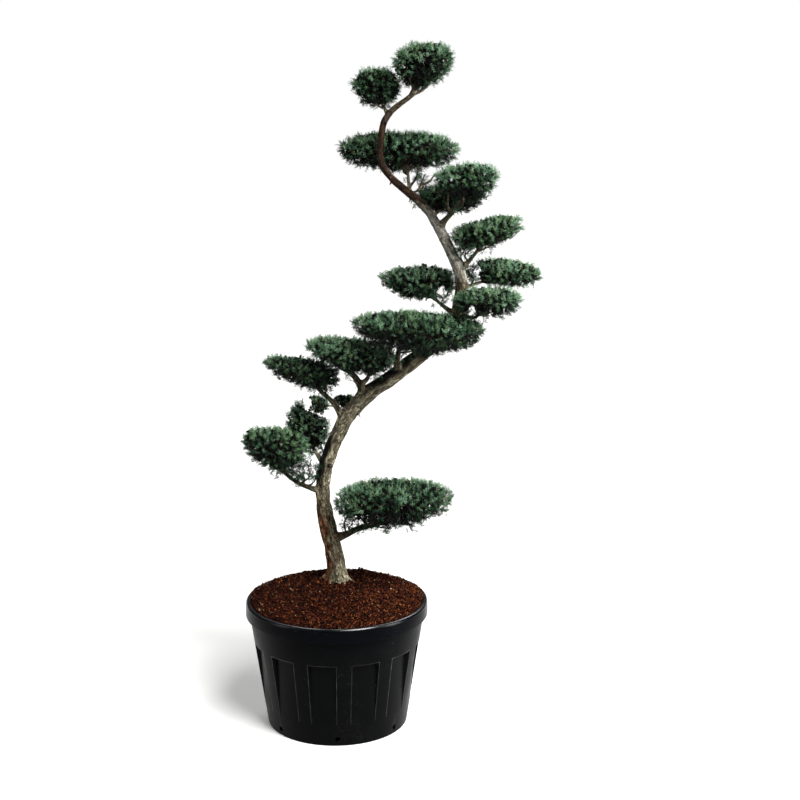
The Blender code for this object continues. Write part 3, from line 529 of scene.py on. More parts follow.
def nearestOnLimbs(points, routes):
    # for each point: distance along its limb, place across it, limb radius and limb number
    best = np.full(len(points), 1e9)
    across = np.zeros((len(points), 2))
    along = np.zeros(len(points))
    radius = np.zeros(len(points))
    limb = np.zeros(len(points), int)
    for number, route in enumerate(routes.values()):
        way, sideA, sideB = routeFrames(route[:, :3])
        travelled = lengthAlong(route[:, :3])
        for start in range(0, len(points), 20000):
            some = points[start:start + 20000]
            gaps = np.linalg.norm(some[:, None] - route[None, :, :3], axis=2) - route[None, :, 3] / 2
            index = gaps.argmin(1)
            found = gaps[np.arange(len(some)), index]
            better = found < best[start:start + 20000]
            rows = np.nonzero(better)[0] + start
            index = index[better]
            away = points[rows] - route[index, :3]
            best[rows] = found[better]
            across[rows, 0] = (away * sideA[index]).sum(1)
            across[rows, 1] = (away * sideB[index]).sum(1)
            along[rows] = travelled[index] + (away * way[index]).sum(1)
            radius[rows] = route[index, 3] / 2
            limb[rows] = number
    return along, across, radius, limb


def limbNoise(places, across, along, shift=(0, 0)):
    # noise on the limbs' own places, drawn out along them
    return np.array([noise.noise(Vector((u * across + shift[0], v * across, s * along + shift[1])))
                     for u, v, s in places])


def barkRelief(places):
    # lift of the bark at each place: cracked plates, loose flakes and slow lumps
    crack = np.maximum(0.0, 1 - np.abs(limbNoise(places, 95, 24)) / 0.17)
    flake = np.clip(limbNoise(places, 60, 17, (9, 0)) * 5, -1, 1)
    lump = limbNoise(places, 24, 13, (0, 5))
    return bark["flakeHeight"] * flake - bark["plateDepth"] * crack + bark["lumps"] * lump, crack


def reached(change, z):
    return smoothStep(*barkHeights[change], z)


def barkColours(points, normals, places, limb, crack, names):
    # colours by height and side, broken up by noise, with painted shade in places, and how strongly the
    # plates show
    tones = {name: np.array(linearColour(bark[name])) for name in
             ("ashen", "olive", "redBrown", "deepBrown", "paleSmooth", "blackShadeAndStain")}
    mottle = limbNoise(places, 34, 16)
    patch = limbNoise(places, 12, 7, (3, 0))
    z = points[:, 2]
    x = normals[:, 0]
    onTrunk = (limb == 0).astype(float)

    def blended(base, tone, share):
        return base + (tones[tone] - base) * np.clip(share, 0, 1)[:, None]

    colour = np.tile(tones["ashen"] * 0.80, (len(points), 1))
    colour = blended(colour, "olive", smoothStep(-0.2, 0.5, patch) * 0.75)
    colour = blended(colour, "deepBrown", smoothStep(0.05, 0.5, mottle) * 0.45)
    peeled = 1 - reached("peeledEnd", z + 0.12 * patch)
    colour = blended(colour, "redBrown", onTrunk * peeled * 0.9 * smoothStep(-0.12, 0.45, -x + 0.9 * mottle))
    brown = reached("brown", z) * (1 - reached("brownEnd", z))
    colour = blended(colour, "deepBrown", onTrunk * brown * (0.30 + 0.5 * mottle))
    # painted shade on the trunk under the pads above it
    shaded = onTrunk * reached("shaded", z) * (1 - reached("shadedEnd", z + 0.1 * patch))
    colour = blended(colour, "deepBrown", shaded * (0.55 + 0.4 * mottle))
    pale = onTrunk * reached("pale", z + 0.1 * patch) * (1 - reached("paleEnd", z))
    colour = blended(colour, "paleSmooth", pale * (0.75 + 0.5 * mottle))
    high = onTrunk * reached("high", z + 0.06 * mottle) * (1 - 0.7 * reached("highEnd", z))
    colour = blended(colour, "deepBrown", high * (1.05 + 0.3 * mottle))
    colour = blended(colour, "redBrown", high * smoothStep(0.1, 0.5, patch) * 0.18)
    colour = blended(colour, "blackShadeAndStain", high * (0.30 + 0.4 * patch))
    # the left side, away from the light, is near black: painted shade, and dark bark
    leftShadeAndStain = onTrunk * smoothStep(0.20, 0.55, -x + 0.3 * mottle)
    leftShadeAndStain *= reached("leftShadeAndStain", z) * (1 - reached("leftShadeAndStainEnd", z))
    colour = blended(colour, "blackShadeAndStain", leftShadeAndStain * 0.97)
    # the upper side of the sloping trunk is near black
    blackUpperSide = onTrunk * smoothStep(0.05, 0.40, normals[:, 2] + 0.3 * mottle)
    blackUpperSide *= reached("blackUpperSide", z) * (1 - reached("blackUpperSideEnd", z))
    colour = blended(colour, "blackShadeAndStain", blackUpperSide * 0.95)
    for number, name in enumerate(names):
        if number:
            share = boughDarkness.get(name, otherDarkness) * smoothStep(0.02, 0.07, places[:, 2])
            colour = blended(colour, "deepBrown", (limb == number) * share)
    colour = blended(colour, "blackShadeAndStain", crack * 0.6)
    rough = 1 - 0.55 * pale
    return np.concatenate((colour, rough[:, None]), 1)


# Plates and flakes: scale, squeeze along the limb, darkest and lightest tone, crack width and tone
barkPlates = (
    (80.0, 0.26, 0.50, 1.55, 0.08, 0.25),
    (200.0, 0.36, 0.42, 1.75, 0.07, 0.60),
)


def barkMaterial():
    # living bark of a cypress: matt, split into long thin plates that flake
    material, tree, shader = newMaterial("cypress_bark", "#8d8470", 0.9, {"Specular IOR Level": 0.15})
    tint = addNode(tree, "Attribute", {}, attribute_name="barkColour")
    place = addNode(tree, "Attribute", {}, attribute_name="barkPlace")
    warp = addNode(tree, "TexNoise", {"Vector": place.outputs["Vector"], "Scale": 75.0, "Detail": 4.0})
    # edges of the plates wander by about 7 mm across the limb and 12 mm along it
    bent = addNode(tree, "VectorMath", {0: warp.outputs["Color"], 1: (0.015, 0.015, 0.024),
                                        2: place.outputs["Vector"]}, operation="MULTIPLY_ADD")
    colour = tint.outputs["Color"]
    heights = []
    # plates 12 mm across and 48 mm long, then flakes 5 mm across and 14 mm long on them
    for scale, length, dark, light, crackWidth, crackTone in barkPlates:
        strips = addNode(tree, "Mapping", {"Vector": bent.outputs[0], "Scale": (1, 1, length)})
        cells = addNode(tree, "TexVoronoi", {"Vector": strips.outputs[0], "Scale": scale})
        edges = addNode(tree, "TexVoronoi", {"Vector": strips.outputs[0], "Scale": scale},
                        feature="DISTANCE_TO_EDGE")
        pick = addNode(tree, "SeparateColor", {"Color": cells.outputs["Color"]})
        tone = addNode(tree, "MapRange", {"Value": pick.outputs[0], "To Min": dark, "To Max": light})
        crack = addNode(tree, "MapRange", {"Value": edges.outputs["Distance"], "From Max": crackWidth,
                                           "To Min": crackTone}, interpolation_type="SMOOTHSTEP")
        shade = addNode(tree, "Math", {0: tone.outputs[0], 1: crack.outputs[0]}, operation="MULTIPLY")
        multiplied = addNode(tree, "Mix", {0: tint.outputs["Alpha"], 6: colour, 7: shade.outputs[0]},
                             data_type="RGBA", blend_type="MULTIPLY")
        colour = multiplied.outputs[2]
        heights.append(crack.outputs[0])
    # stringy fibres along the limb, and a fine grain
    drawn = addNode(tree, "Mapping", {"Vector": bent.outputs[0], "Scale": (1, 1, 0.10)})
    fibres = addNode(tree, "TexNoise", {"Vector": drawn.outputs[0], "Scale": 420.0, "Detail": 2.0})
    fibreTone = addNode(tree, "MapRange", {"Value": fibres.outputs["Fac"], "From Min": 0.3,
                                           "From Max": 0.7, "To Min": 0.60, "To Max": 1.40})
    strung = addNode(tree, "Mix", {0: 0.8, 6: colour, 7: fibreTone.outputs[0]}, data_type="RGBA",
                     blend_type="MULTIPLY")
    colour = strung.outputs[2]
    grain = addNode(tree, "TexNoise", {"Vector": bent.outputs[0], "Scale": 480.0, "Detail": 3.0})
    grainTone = addNode(tree, "MapRange", {"Value": grain.outputs["Fac"], "From Min": 0.3,
                                           "From Max": 0.7, "To Min": 0.55, "To Max": 1.45})
    grained = addNode(tree, "Mix", {0: 1.0, 6: colour, 7: grainTone.outputs[0]}, data_type="RGBA",
                      blend_type="MULTIPLY")
    tree.links.new(grained.outputs[2], shader.inputs["Base Color"])
    normal = None
    for height, distance in ((heights[0], 0.0024), (heights[1], 0.0009),
                             (fibres.outputs["Fac"], 0.0014), (grain.outputs["Fac"], 0.0008)):
        sockets = {"Height": height, "Distance": distance, "Strength": 0.85}
        if normal:
            sockets["Normal"] = normal
        normal = addNode(tree, "Bump", sockets).outputs["Normal"]
    tree.links.new(normal, shader.inputs["Normal"])
    return material


def makeWood(routes):
    piece = pieceFromArrays("trunk_and_boughs", *trunkSkin(routes), [barkMaterial()])
    applyModifier(piece, "REMESH", {"mode": "VOXEL", "voxel_size": bark["voxel"]})
    applyModifier(piece, "SMOOTH", {"factor": 0.5, "iterations": 5})
    mesh = piece.data
    points = readPoints(mesh)
    normals = readPoints(mesh, "normal")
    z = points[:, 2]
    along, across, radius, limb = nearestOnLimbs(points, routes)
    shift = limb * bark["limbShift"]
    places = np.stack((across[:, 0], across[:, 1], along + shift), -1)
    lift, crack = barkRelief(places)
    lift *= np.clip(radius / bark["fullRelief"], 0.15, 1.0)
    lift *= 1 - 0.6 * (limb == 0) * reached("smooth", z) * (1 - reached("smoothEnd", z))
    # a raised ring round the trunk at each scar, with a crack on its upper side
    for scarX, scarZ in bark["ringScars"]:
        near = (np.hypot(points[:, 0] - scarX, z - scarZ) < 0.05) & (limb == 0)
        bend = along - along[near].mean()
        lift += bark["scarHeight"] * np.exp(-(bend / bark["scarWidth"]) ** 2) * near
        crack = np.maximum(crack, np.exp(-((bend - 0.007) / 0.003) ** 2) * near)
    points += normals * lift[:, None]
    points[:, 2] = np.maximum(points[:, 2], trunk["foot"][2] - 0.003)
    mesh.vertices.foreach_set("co", points.ravel())
    ownPlaces = places.copy()
    ownPlaces[:, 2] -= shift
    colours = barkColours(points, normals, ownPlaces, limb, crack, list(routes))
    tint = mesh.attributes.new("barkColour", "FLOAT_COLOR", "POINT")
    tint.data.foreach_set("color", colours.ravel())
    place = mesh.attributes.new("barkPlace", "FLOAT_VECTOR", "POINT")
    place.data.foreach_set("vector", places.ravel())
    mesh.update()
    mesh.shade_smooth()
    finishPiece(piece, "bark", "trunk", *boughs)


# Sprays: a short green axis with branchlets of scale leaves round it, root at 0 and tip at 1
spray = {
    "length": (0.017, 0.033),
    "branchlets": 9,
    "branchletLength": 0.54,        # share of the spray's length, for the lowest branchlets
    "width": 0.088,
    "keel": 0.050,
    "variants": 16,
}

# Tufts: several sprays that fan out from one shoot, as they do where a twig was clipped
tufts = {
    "gap": 0.0229,                  # least distance between two tufts
    "sprays": 5,
    "fan": 0.48,
    "depth": 0.022,                 # the fork lies this far under the clipped form
    "clump": 0.011,                 # tufts stand in or out by this much
    "clumpSize": 0.036,
    "swell": 0.010,                 # and slow swells of the form by this much
    "swellSize": 0.085,
    "sunk": 0.006,                  # forks lie this much further in, as the sprays reach out
    "tries": 110,                   # places tried: this x half length x half width / gap squared
}

# The shaded inside: fewer, broader sprays in layers, by share of the form, gap and length
innerLayers = ((0.84, 0.0208, 1.55), (0.62, 0.031, 2.3), (0.36, 0.040, 2.8))
innerSpray = {"branchlets": 5, "branchletLength": 0.54, "width": 0.42, "keel": 0.06, "variants": 8,
              "tries": 60}

# Foliage tints from the fresh tips to near black, painted shade for the inside, then dead brown and four
# yellower greens
tints = ("#8ab190", "#68906f", "#4a7253", "#32533a", "#1a2e1f", "#080f09", "#1c150e",
         "#92b288", "#6f9168", "#52734c", "#385234")
deadTint = 6
warmTint = 7


def sprayVariants(sizes, draw):
    shapes = []
    for _ in range(sizes["variants"]):
        points = []
        for number in range(sizes["branchlets"]):
            t = 0.06 + 0.86 * number / (sizes["branchlets"] - 1)
            around = number * 2.4 + draw.uniform(-0.5, 0.5)
            lean = (1.05 - 0.45 * t) * draw.uniform(0.75, 1.2)
            out = math.sin(lean)
            way = np.array((math.cos(lean), out * math.cos(around), out * math.sin(around)))
            length = sizes["branchletLength"] * (1 - 0.5 * t) * draw.uniform(0.65, 1.15)
            points.append(leafPoints(np.array((t, 0, 0)), way, length, sizes))
        points.append(leafPoints(np.zeros(3), np.array((1.0, 0, 0)), 1.0, sizes))
        shapes.append(np.concatenate(points))
    leaf = np.array(((0, 1, 2), (0, 2, 3), (0, 3, 1), (1, 3, 2)))
    return np.array(shapes), repeated(sizes["branchlets"] + 1, 4, leaf)


def leafPoints(root, way, length, sizes):
    # a keeled spindle of four faces: root, two edges, tip
    side = unit(np.cross(way, (0.3, 0.5, 0.8))) * sizes["width"] / 2
    keel = np.cross(way, unit(side)) * sizes["keel"]
    middle = root + way * length * 0.42
    return np.array((root, middle + side + keel, root + way * length, middle - side + keel))


# Places where the outer sprays are missing and twigs and darkness show, and the sprays round them are painted
# darker as shade: middle, radius
hollows = {
    "pad_low_right": (((0.196, -0.150, 1.005), 0.052), ((0.310, -0.150, 0.990), 0.034),
                      ((0.190, -0.145, 0.940), 0.060), ((0.110, -0.085, 0.900), 0.050),
                      ((0.290, -0.130, 0.915), 0.050), ((0.050, -0.020, 0.905), 0.040),
                      ((0.160, -0.060, 0.885), 0.055)),
    "pad_low_left": (((-0.170, -0.020, 1.135), 0.045),),
    "pad_left_crest": (((-0.100, 0.075, 1.215), 0.035), ((-0.066, 0.130, 1.372), 0.036)),
    "pad_mid_left": (((-0.060, 0.000, 1.500), 0.040),),
    "pad_middle": (((0.100, -0.080, 1.565), 0.045), ((0.020, -0.070, 1.570), 0.035)),
    "pad_broad": (((0.260, -0.220, 1.690), 0.040), ((0.400, -0.240, 1.690), 0.035)),
    "pad_right_front": (((0.560, -0.180, 1.845), 0.030),),
    "pad_top_front": (((0.500, -0.185, 2.300), 0.062), ((0.475, -0.140, 2.275), 0.055),
                      ((0.545, -0.190, 2.292), 0.045), ((0.505, -0.130, 2.265), 0.050)),
    "pad_top_left": (((0.330, 0.020, 2.420), 0.045),),
    "pad_right_back": (((0.580, 0.060, 1.960), 0.045),),
    "pad_upper_left": (((0.430, 0.000, 1.870), 0.040),),
    "ball_crown": (((0.330, -0.110, 2.790), 0.030),),
}

# Places where the sky shows through a mass from the front: a point on the line of sight, radius
openings = {
    "pad_low_right": (((0.082, 0.050, 0.896), 0.014), ((0.106, 0.050, 0.901), 0.011),
                      ((0.130, 0.050, 0.906), 0.013), ((0.178, 0.050, 0.913), 0.011),
                      ((0.226, 0.050, 0.918), 0.008)),
    "pad_left_crest": (((-0.070, 0.130, 1.366), 0.027), ((-0.044, 0.130, 1.352), 0.026),
                       ((-0.122, 0.130, 1.396), 0.030), ((-0.100, 0.130, 1.378), 0.024),
                       ((-0.036, 0.130, 1.380), 0.020)),
    "tuft_left": (((-0.044, 0.130, 1.352), 0.012), ((-0.122, 0.130, 1.392), 0.018)),
    "pad_right_back": (((0.586, 0.090, 1.988), 0.030), ((0.570, 0.090, 1.955), 0.028),
                       ((0.604, 0.090, 1.960), 0.018)),
    "pad_right_front": (((0.572, -0.140, 1.852), 0.022), ((0.612, -0.140, 1.846), 0.017),
                        ((0.652, -0.140, 1.838), 0.014)),
    "pad_upper_left": (((0.451, 0.080, 1.884), 0.022), ((0.434, 0.080, 1.868), 0.017)),
}
viewpoint = (0.276, -6.3, 2.775)    # the camera's place, where the openings are seen from

# Painted light and shade: how much darker (or, below zero, lighter) the sprays of a mass are painted than the
# rest, for the light that reaches each mass
paintedShade = {
    "pad_low_right": 0.1, "pad_low_left": 0.0, "pad_left_crest": -3.0, "tuft_left": -1.4,
    "tuft_back": -1.0, "pad_mid_left": 1.1, "pad_middle": -0.8, "pad_broad": 0.4, "pad_upper_left": -0.7,
    "pad_right_front": -0.8, "pad_right_back": -1.4, "pad_right_high": -0.7, "pad_top_front": -0.6,
    "pad_top_back": 1.3, "pad_top_left": 0.0, "ball_left": 0.4, "ball_crown": -0.6,
}

# Loose shoots that stand out of the clipped form, by their tips
shoots = {
    "pad_left_crest": ((-0.190, 0.135, 1.380), (-0.152, 0.160, 1.406), (-0.226, 0.150, 1.346)),
    "pad_low_right": ((0.330, -0.020, 0.862), (0.130, 0.000, 0.868)),
    "pad_right_back": ((0.556, 0.160, 1.994), (0.570, 0.120, 1.948)),
    "pad_top_left": ((0.016, 0.120, 2.512),),
}

# Thin crooked forks that show under the masses: bends, from the bough to their end
strays = {
    "pad_low_right": (
        ((0.055, 0.098, 0.822), (0.052, 0.070, 0.850), (0.068, 0.040, 0.872), (0.060, 0.010, 0.905)),
        ((0.080, 0.092, 0.834), (0.096, 0.050, 0.850), (0.118, 0.010, 0.868), (0.150, -0.030, 0.905)),
        ((0.104, 0.085, 0.846), (0.130, 0.060, 0.876), (0.120, 0.030, 0.896), (0.150, 0.000, 0.930)),
        ((0.040, 0.100, 0.812), (0.030, 0.110, 0.850), (0.042, 0.120, 0.880), (0.038, 0.120, 0.920)),
        ((0.150, 0.072, 0.860), (0.190, 0.010, 0.868), (0.230, -0.040, 0.880), (0.240, -0.080, 0.920)),
        ((0.191, 0.060, 0.875), (0.260, 0.040, 0.880), (0.320, 0.000, 0.882), (0.350, -0.030, 0.920)),
        ((0.130, 0.078, 0.853), (0.160, 0.130, 0.872), (0.200, 0.150, 0.890), (0.230, 0.160, 0.930)),
        ((0.120, 0.060, 0.862), (0.160, -0.050, 0.905), (0.176, -0.110, 0.960), (0.215, -0.110, 1.020)),
        ((0.150, 0.050, 0.868), (0.205, -0.050, 0.905), (0.240, -0.110, 0.955), (0.268, -0.120, 1.005)),
        ((0.210, 0.055, 0.885), (0.262, 0.090, 0.892), (0.330, 0.110, 0.905), (0.370, 0.110, 0.940))),
    "pad_low_left": (
        ((-0.150, 0.080, 1.040), (-0.140, 0.060, 1.075), (-0.160, 0.040, 1.108), (-0.150, 0.030, 1.150)),
        ((-0.175, 0.074, 1.052), (-0.160, 0.040, 1.090), (-0.185, 0.020, 1.118), (-0.180, 0.000, 1.160)),
        ((-0.200, 0.066, 1.070), (-0.190, 0.030, 1.100), (-0.215, 0.000, 1.122), (-0.230, -0.030, 1.160)),
        ((-0.160, 0.078, 1.045), (-0.118, 0.066, 1.080), (-0.122, 0.060, 1.120), (-0.106, 0.060, 1.160)),
        ((-0.130, 0.085, 1.030), (-0.100, 0.080, 1.052), (-0.088, 0.084, 1.086), (-0.096, 0.080, 1.118)),
        ((-0.215, 0.060, 1.085), (-0.250, 0.070, 1.110), (-0.280, 0.070, 1.135), (-0.310, 0.060, 1.180))),
    "pad_left_crest": (
        ((-0.070, 0.104, 1.148), (-0.058, 0.120, 1.170), (-0.070, 0.130, 1.196), (-0.060, 0.140, 1.230)),
        ((-0.090, 0.118, 1.172), (-0.120, 0.110, 1.180), (-0.150, 0.110, 1.200), (-0.170, 0.120, 1.240))),
    "pad_mid_left": (
        ((-0.040, 0.072, 1.436), (-0.060, 0.050, 1.452), (-0.078, 0.030, 1.478), (-0.100, 0.010, 1.520)),
        ((-0.050, 0.074, 1.446), (-0.040, 0.060, 1.470), (-0.056, 0.040, 1.492), (-0.050, 0.030, 1.520)),
        ((-0.070, 0.076, 1.462), (-0.110, 0.110, 1.478), (-0.150, 0.120, 1.500), (-0.180, 0.120, 1.530))),
    "pad_middle": (
        ((0.105, 0.046, 1.492), (0.080, 0.010, 1.515), (0.085, -0.020, 1.540), (0.060, -0.050, 1.580)),
        ((0.090, 0.038, 1.516), (0.060, 0.050, 1.540), (0.020, 0.070, 1.556), (-0.020, 0.080, 1.590)),
        ((0.142, 0.030, 1.534), (0.170, 0.000, 1.550), (0.175, -0.030, 1.570), (0.200, -0.040, 1.610))),
    "pad_broad": (
        ((0.266, 0.034, 1.600), (0.240, 0.000, 1.625), (0.225, -0.050, 1.650), (0.200, -0.090, 1.690)),
        ((0.270, 0.000, 1.640), (0.300, -0.050, 1.650), (0.330, -0.090, 1.665), (0.350, -0.130, 1.700)),
        ((0.440, 0.030, 1.650), (0.420, -0.030, 1.655), (0.400, -0.080, 1.670), (0.380, -0.130, 1.700))),
    "pad_upper_left": (
        ((0.470, 0.094, 1.820), (0.450, 0.070, 1.840), (0.458, 0.050, 1.862), (0.430, 0.040, 1.890)),
        ((0.440, 0.110, 1.842), (0.410, 0.090, 1.862), (0.380, 0.080, 1.876), (0.350, 0.060, 1.900))),
    "pad_right_front": (
        ((0.590, -0.048, 1.800), (0.560, -0.080, 1.812), (0.548, -0.110, 1.832), (0.540, -0.130, 1.860)),
        ((0.600, -0.060, 1.808), (0.640, -0.080, 1.820), (0.680, -0.090, 1.836), (0.710, -0.100, 1.860))),
    "pad_right_back": (
        ((0.575, 0.060, 1.918), (0.590, 0.090, 1.940), (0.582, 0.110, 1.962), (0.600, 0.130, 1.990)),
        ((0.560, 0.052, 1.914), (0.556, 0.080, 1.944), (0.572, 0.090, 1.962), (0.566, 0.110, 1.990)),
        ((0.620, 0.090, 1.930), (0.660, 0.080, 1.928), (0.700, 0.080, 1.934), (0.740, 0.080, 1.950))),
    "pad_right_high": (
        ((0.548, -0.002, 2.014), (0.530, -0.010, 2.050), (0.545, -0.020, 2.080), (0.530, -0.030, 2.115)),
        ((0.560, -0.004, 2.030), (0.548, -0.030, 2.060), (0.570, -0.050, 2.085), (0.560, -0.070, 2.120)),
        ((0.590, -0.006, 2.064), (0.630, 0.020, 2.080), (0.670, 0.030, 2.100), (0.700, 0.030, 2.140))),
    "pad_top_front": (
        ((0.490, -0.045, 2.240), (0.476, -0.100, 2.258), (0.470, -0.140, 2.286), (0.474, -0.150, 2.345)),
        ((0.502, -0.055, 2.252), (0.524, -0.105, 2.268), (0.534, -0.145, 2.298), (0.530, -0.155, 2.350)),
        ((0.508, -0.060, 2.262), (0.540, -0.080, 2.290), (0.560, -0.090, 2.310), (0.580, -0.090, 2.350))),
    "pad_top_back": (
        ((0.400, -0.003, 2.232), (0.385, 0.040, 2.240), (0.370, 0.080, 2.262), (0.350, 0.110, 2.290)),
        ((0.430, 0.055, 2.228), (0.420, 0.100, 2.245), (0.400, 0.150, 2.262), (0.390, 0.190, 2.290))),
    "pad_top_left": (
        ((0.312, 0.020, 2.332), (0.326, 0.024, 2.352), (0.342, 0.034, 2.374), (0.356, 0.050, 2.420)),
        ((0.318, 0.010, 2.318), (0.348, 0.008, 2.324), (0.362, 0.014, 2.350), (0.380, 0.034, 2.390)),
        ((0.356, 0.010, 2.334), (0.378, 0.030, 2.352), (0.400, 0.040, 2.362), (0.424, 0.060, 2.392))),
    "ball_left": (
        ((0.208, -0.006, 2.672), (0.225, -0.010, 2.690), (0.232, 0.000, 2.710), (0.225, 0.010, 2.740)),
        ((0.212, -0.010, 2.665), (0.190, -0.020, 2.672), (0.160, -0.020, 2.690), (0.145, -0.010, 2.720))),
    "ball_crown": (
        ((0.318, -0.031, 2.715), (0.330, -0.050, 2.745), (0.318, -0.070, 2.770), (0.330, -0.080, 2.810)),
        ((0.330, -0.032, 2.724), (0.360, -0.030, 2.735), (0.385, -0.030, 2.755), (0.410, -0.030, 2.790))),
}
strayWood = {
    "step": 0.008,
    "sides": 6,
    "girth": (0.0095, 0.0035),      # at both ends of a fork
    "twigs": 18,                    # on each fork
    "thicker": {                    # girth and twigs of the forks of these masses
        "pad_top_left": ((0.0135, 0.0060), 7), "pad_top_front": ((0.0130, 0.0065), 6),
        "ball_crown": ((0.0180, 0.0080), 4)},
    "twigLength": (0.010, 0.032),
    "twigRadii": (0.0016, 0.0009),
    "twigSteps": 5,
    "sprayLength": (0.012, 0.024),
}


def straySprays(form, draw):
    # each fork with side twigs along it, and small sprays on those near its end
    roots, ways, lengths, tubes = [np.zeros((0, 3))], [np.zeros((0, 3))], [np.zeros(0)], []
    girth, twigCount = strayWood["thicker"].get(form.name, (strayWood["girth"], strayWood["twigs"]))
    steps = strayWood["twigSteps"]
    for bends in strays.get(form.name, ()):
        route = smoothRoute(bends, strayWood["step"])
        count = len(route)
        tubes.append(thinTubes([route], [np.linspace(*girth, count) / 2], strayWood["sides"]))
        paths = []
        for _ in range(twigCount):
            start = route[draw.integers(count // 5, count)]
            way = unit(np.array((0, 0, 0.5)) + draw.normal(size=3))
            end = start + way * draw.uniform(*strayWood["twigLength"])
            paths.append(bowedPath(start, unit(way + draw.normal(size=3) * 0.6), end, steps, draw, 0.04))
            some = draw.integers(4, 10)
            spots = end + draw.normal(size=(some, 3)) * 0.005
            roots.append(spots)
            ways.append(unit(way + draw.normal(size=(some, 3)) * 0.6))
            lengths.append(draw.uniform(*strayWood["sprayLength"], some))
        radii = np.linspace(*strayWood["twigRadii"], steps)
        tubes.append(thinTubes(paths, np.tile(radii, (len(paths), 1)), 4))
    return np.concatenate(roots), np.concatenate(ways), np.concatenate(lengths), tubes


def clearOfLimbs(points, wood):
    # true where a point is 2 mm or more outside every limb
    free = np.ones(len(points), bool)
    for start in range(0, len(points), 4000):
        some = points[start:start + 4000]
        gaps = np.linalg.norm(some[:, None] - wood[None, :, :3], axis=2) - wood[None, :, 3] / 2
        free[start:start + 4000] = gaps.min(1) > 0.002
    return free


def spreadOut(points, keep, gap):
    # rows of the kept points, none nearer to another than the gap
    chosen = np.zeros((len(points), 3))
    rows = []
    for row in np.nonzero(keep)[0]:
        count = len(rows)
        if count and ((chosen[:count] - points[row]) ** 2).sum(1).min() < gap ** 2:
            continue
        chosen[count] = points[row]
        rows.append(row)
    return np.array(rows)


def outsideOthers(points, others):
    free = np.ones(len(points), bool)
    for other in others:
        free &= other.depth(points) > 1.03
    return free


def outsideHollows(points, form, draw, share):
    # outside every hollow, its radius taken by the share and a little unevenly
    free = np.ones(len(points), bool)
    for middle, radius in hollows.get(form.name, ()):
        away = np.linalg.norm(points - np.array(middle), axis=1)
        free &= away > radius * share * draw.uniform(0.8, 1.15, len(points))
    return free


def outsideOpenings(points, form):
    # a clear tunnel along the line of sight through each opening
    free = np.ones(len(points), bool)
    for middle, radius in openings.get(form.name, ()):
        sight = unit(np.array(middle) - np.array(viewpoint))
        away = points - np.array(middle)
        across = away - (away @ sight)[:, None] * sight
        free &= np.linalg.norm(across, axis=1) > radius
    return free


def hollowShade(points, form):
    # 1 in a hollow, fading to 0 at 1.45 times its radius
    shade = np.zeros(len(points))
    for middle, radius in hollows.get(form.name, ()):
        away = np.linalg.norm(points - np.array(middle), axis=1) / radius
        shade = np.maximum(shade, 1 - smoothStep(0.8, 1.45, away))
    return shade


def outerSprays(form, others, wood, draw):
    # tufts over the clipped form, as forks to grow twigs to, and their sprays
    wanted = int(form.widths[0] * form.widths[1] * tufts["tries"] / tufts["gap"] ** 2)
    directions = unit(draw.normal(size=(wanted, 3)))
    surface = form.points(directions)
    normals = form.outwards(surface)
    clump = noiseAt(surface, tufts["clumpSize"])
    swell = noiseAt(surface, tufts["swellSize"])
    out = (tufts["clump"] * clump + tufts["swell"] * swell - tufts["sunk"]) * form.small
    surface = surface + normals * out[:, None]
    under = smoothStep(0.25, 0.95, -normals[:, 2])
    keep = draw.uniform(size=wanted) > 0.35 * under
    keep &= outsideOthers(surface, others) & outsideHollows(surface, form, draw, 1.0)
    keep &= outsideOpenings(surface, form)
    rows = spreadOut(surface, keep, tufts["gap"] * form.small)
    surface, normals, under, clump = surface[rows], normals[rows], under[rows], clump[rows]
    level = unit(normals * (1, 1, 0.0001))
    axes = normals * (0.9 - 0.4 * under)[:, None] + level * (0.45 * under)[:, None] + np.array((0, 0, 0.22))
    axes = unit(axes + draw.normal(size=axes.shape) * 0.28)
    forks = surface - axes * tufts["depth"] * form.small
    # painted light and shade: tufts that face up or stand out on clumps and swells get lighter tints, those
    # that face down, lie in hollows or belong to darker masses get darker ones
    tone = 2.0 - 1.1 * normals[:, 2] - 1.9 * clump - 1.2 * swell[rows] + 0.5 * draw.normal(size=len(rows))
    tone += paintedShade[form.name] + 2.6 * hollowShade(surface, form) + 1.1 * under
    each = tufts["sprays"]
    fan = draw.normal(size=(len(rows), each, 3)) * tufts["fan"]
    fan[:, 0] *= 0.3
    ways = unit(axes[:, None] + fan)
    lengths = draw.uniform(*spray["length"], size=(len(rows), each)) * form.small
    roots = forks[:, None] + draw.normal(size=ways.shape) * 0.0012
    aside = 1 - (ways * axes[:, None]).sum(-1)
    # sprays that turn aside from their tuft's axis, deeper in, are painted darker as shade
    tint = tone[:, None] + 2.2 * aside + 1.05 * draw.normal(size=aside.shape)
    roots, ways, lengths, tint = roots.reshape(-1, 3), ways.reshape(-1, 3), lengths.ravel(), tint.ravel()
    tips = roots + ways * lengths[:, None]
    keep = outsideOthers(tips, others) & clearOfLimbs(roots + (tips - roots) * 0.6, wood)
    keep &= outsideOpenings(tips, form) & outsideOpenings(roots, form)
    tint = np.clip(np.round(tint), 0, 5)
    dead = draw.uniform(size=len(tint)) < 0.10 * np.repeat(under, each)
    tint = np.where(dead, deadTint, tint)
    hue = noiseAt(roots, tufts["swellSize"], (5, 5, 5))
    warm = (draw.uniform(size=len(roots)) < 0.5 + 0.6 * hue) & (tint < 4)
    tint = np.where(warm, tint + warmTint, tint)
    return forks, (roots[keep], ways[keep], lengths[keep], tint[keep])


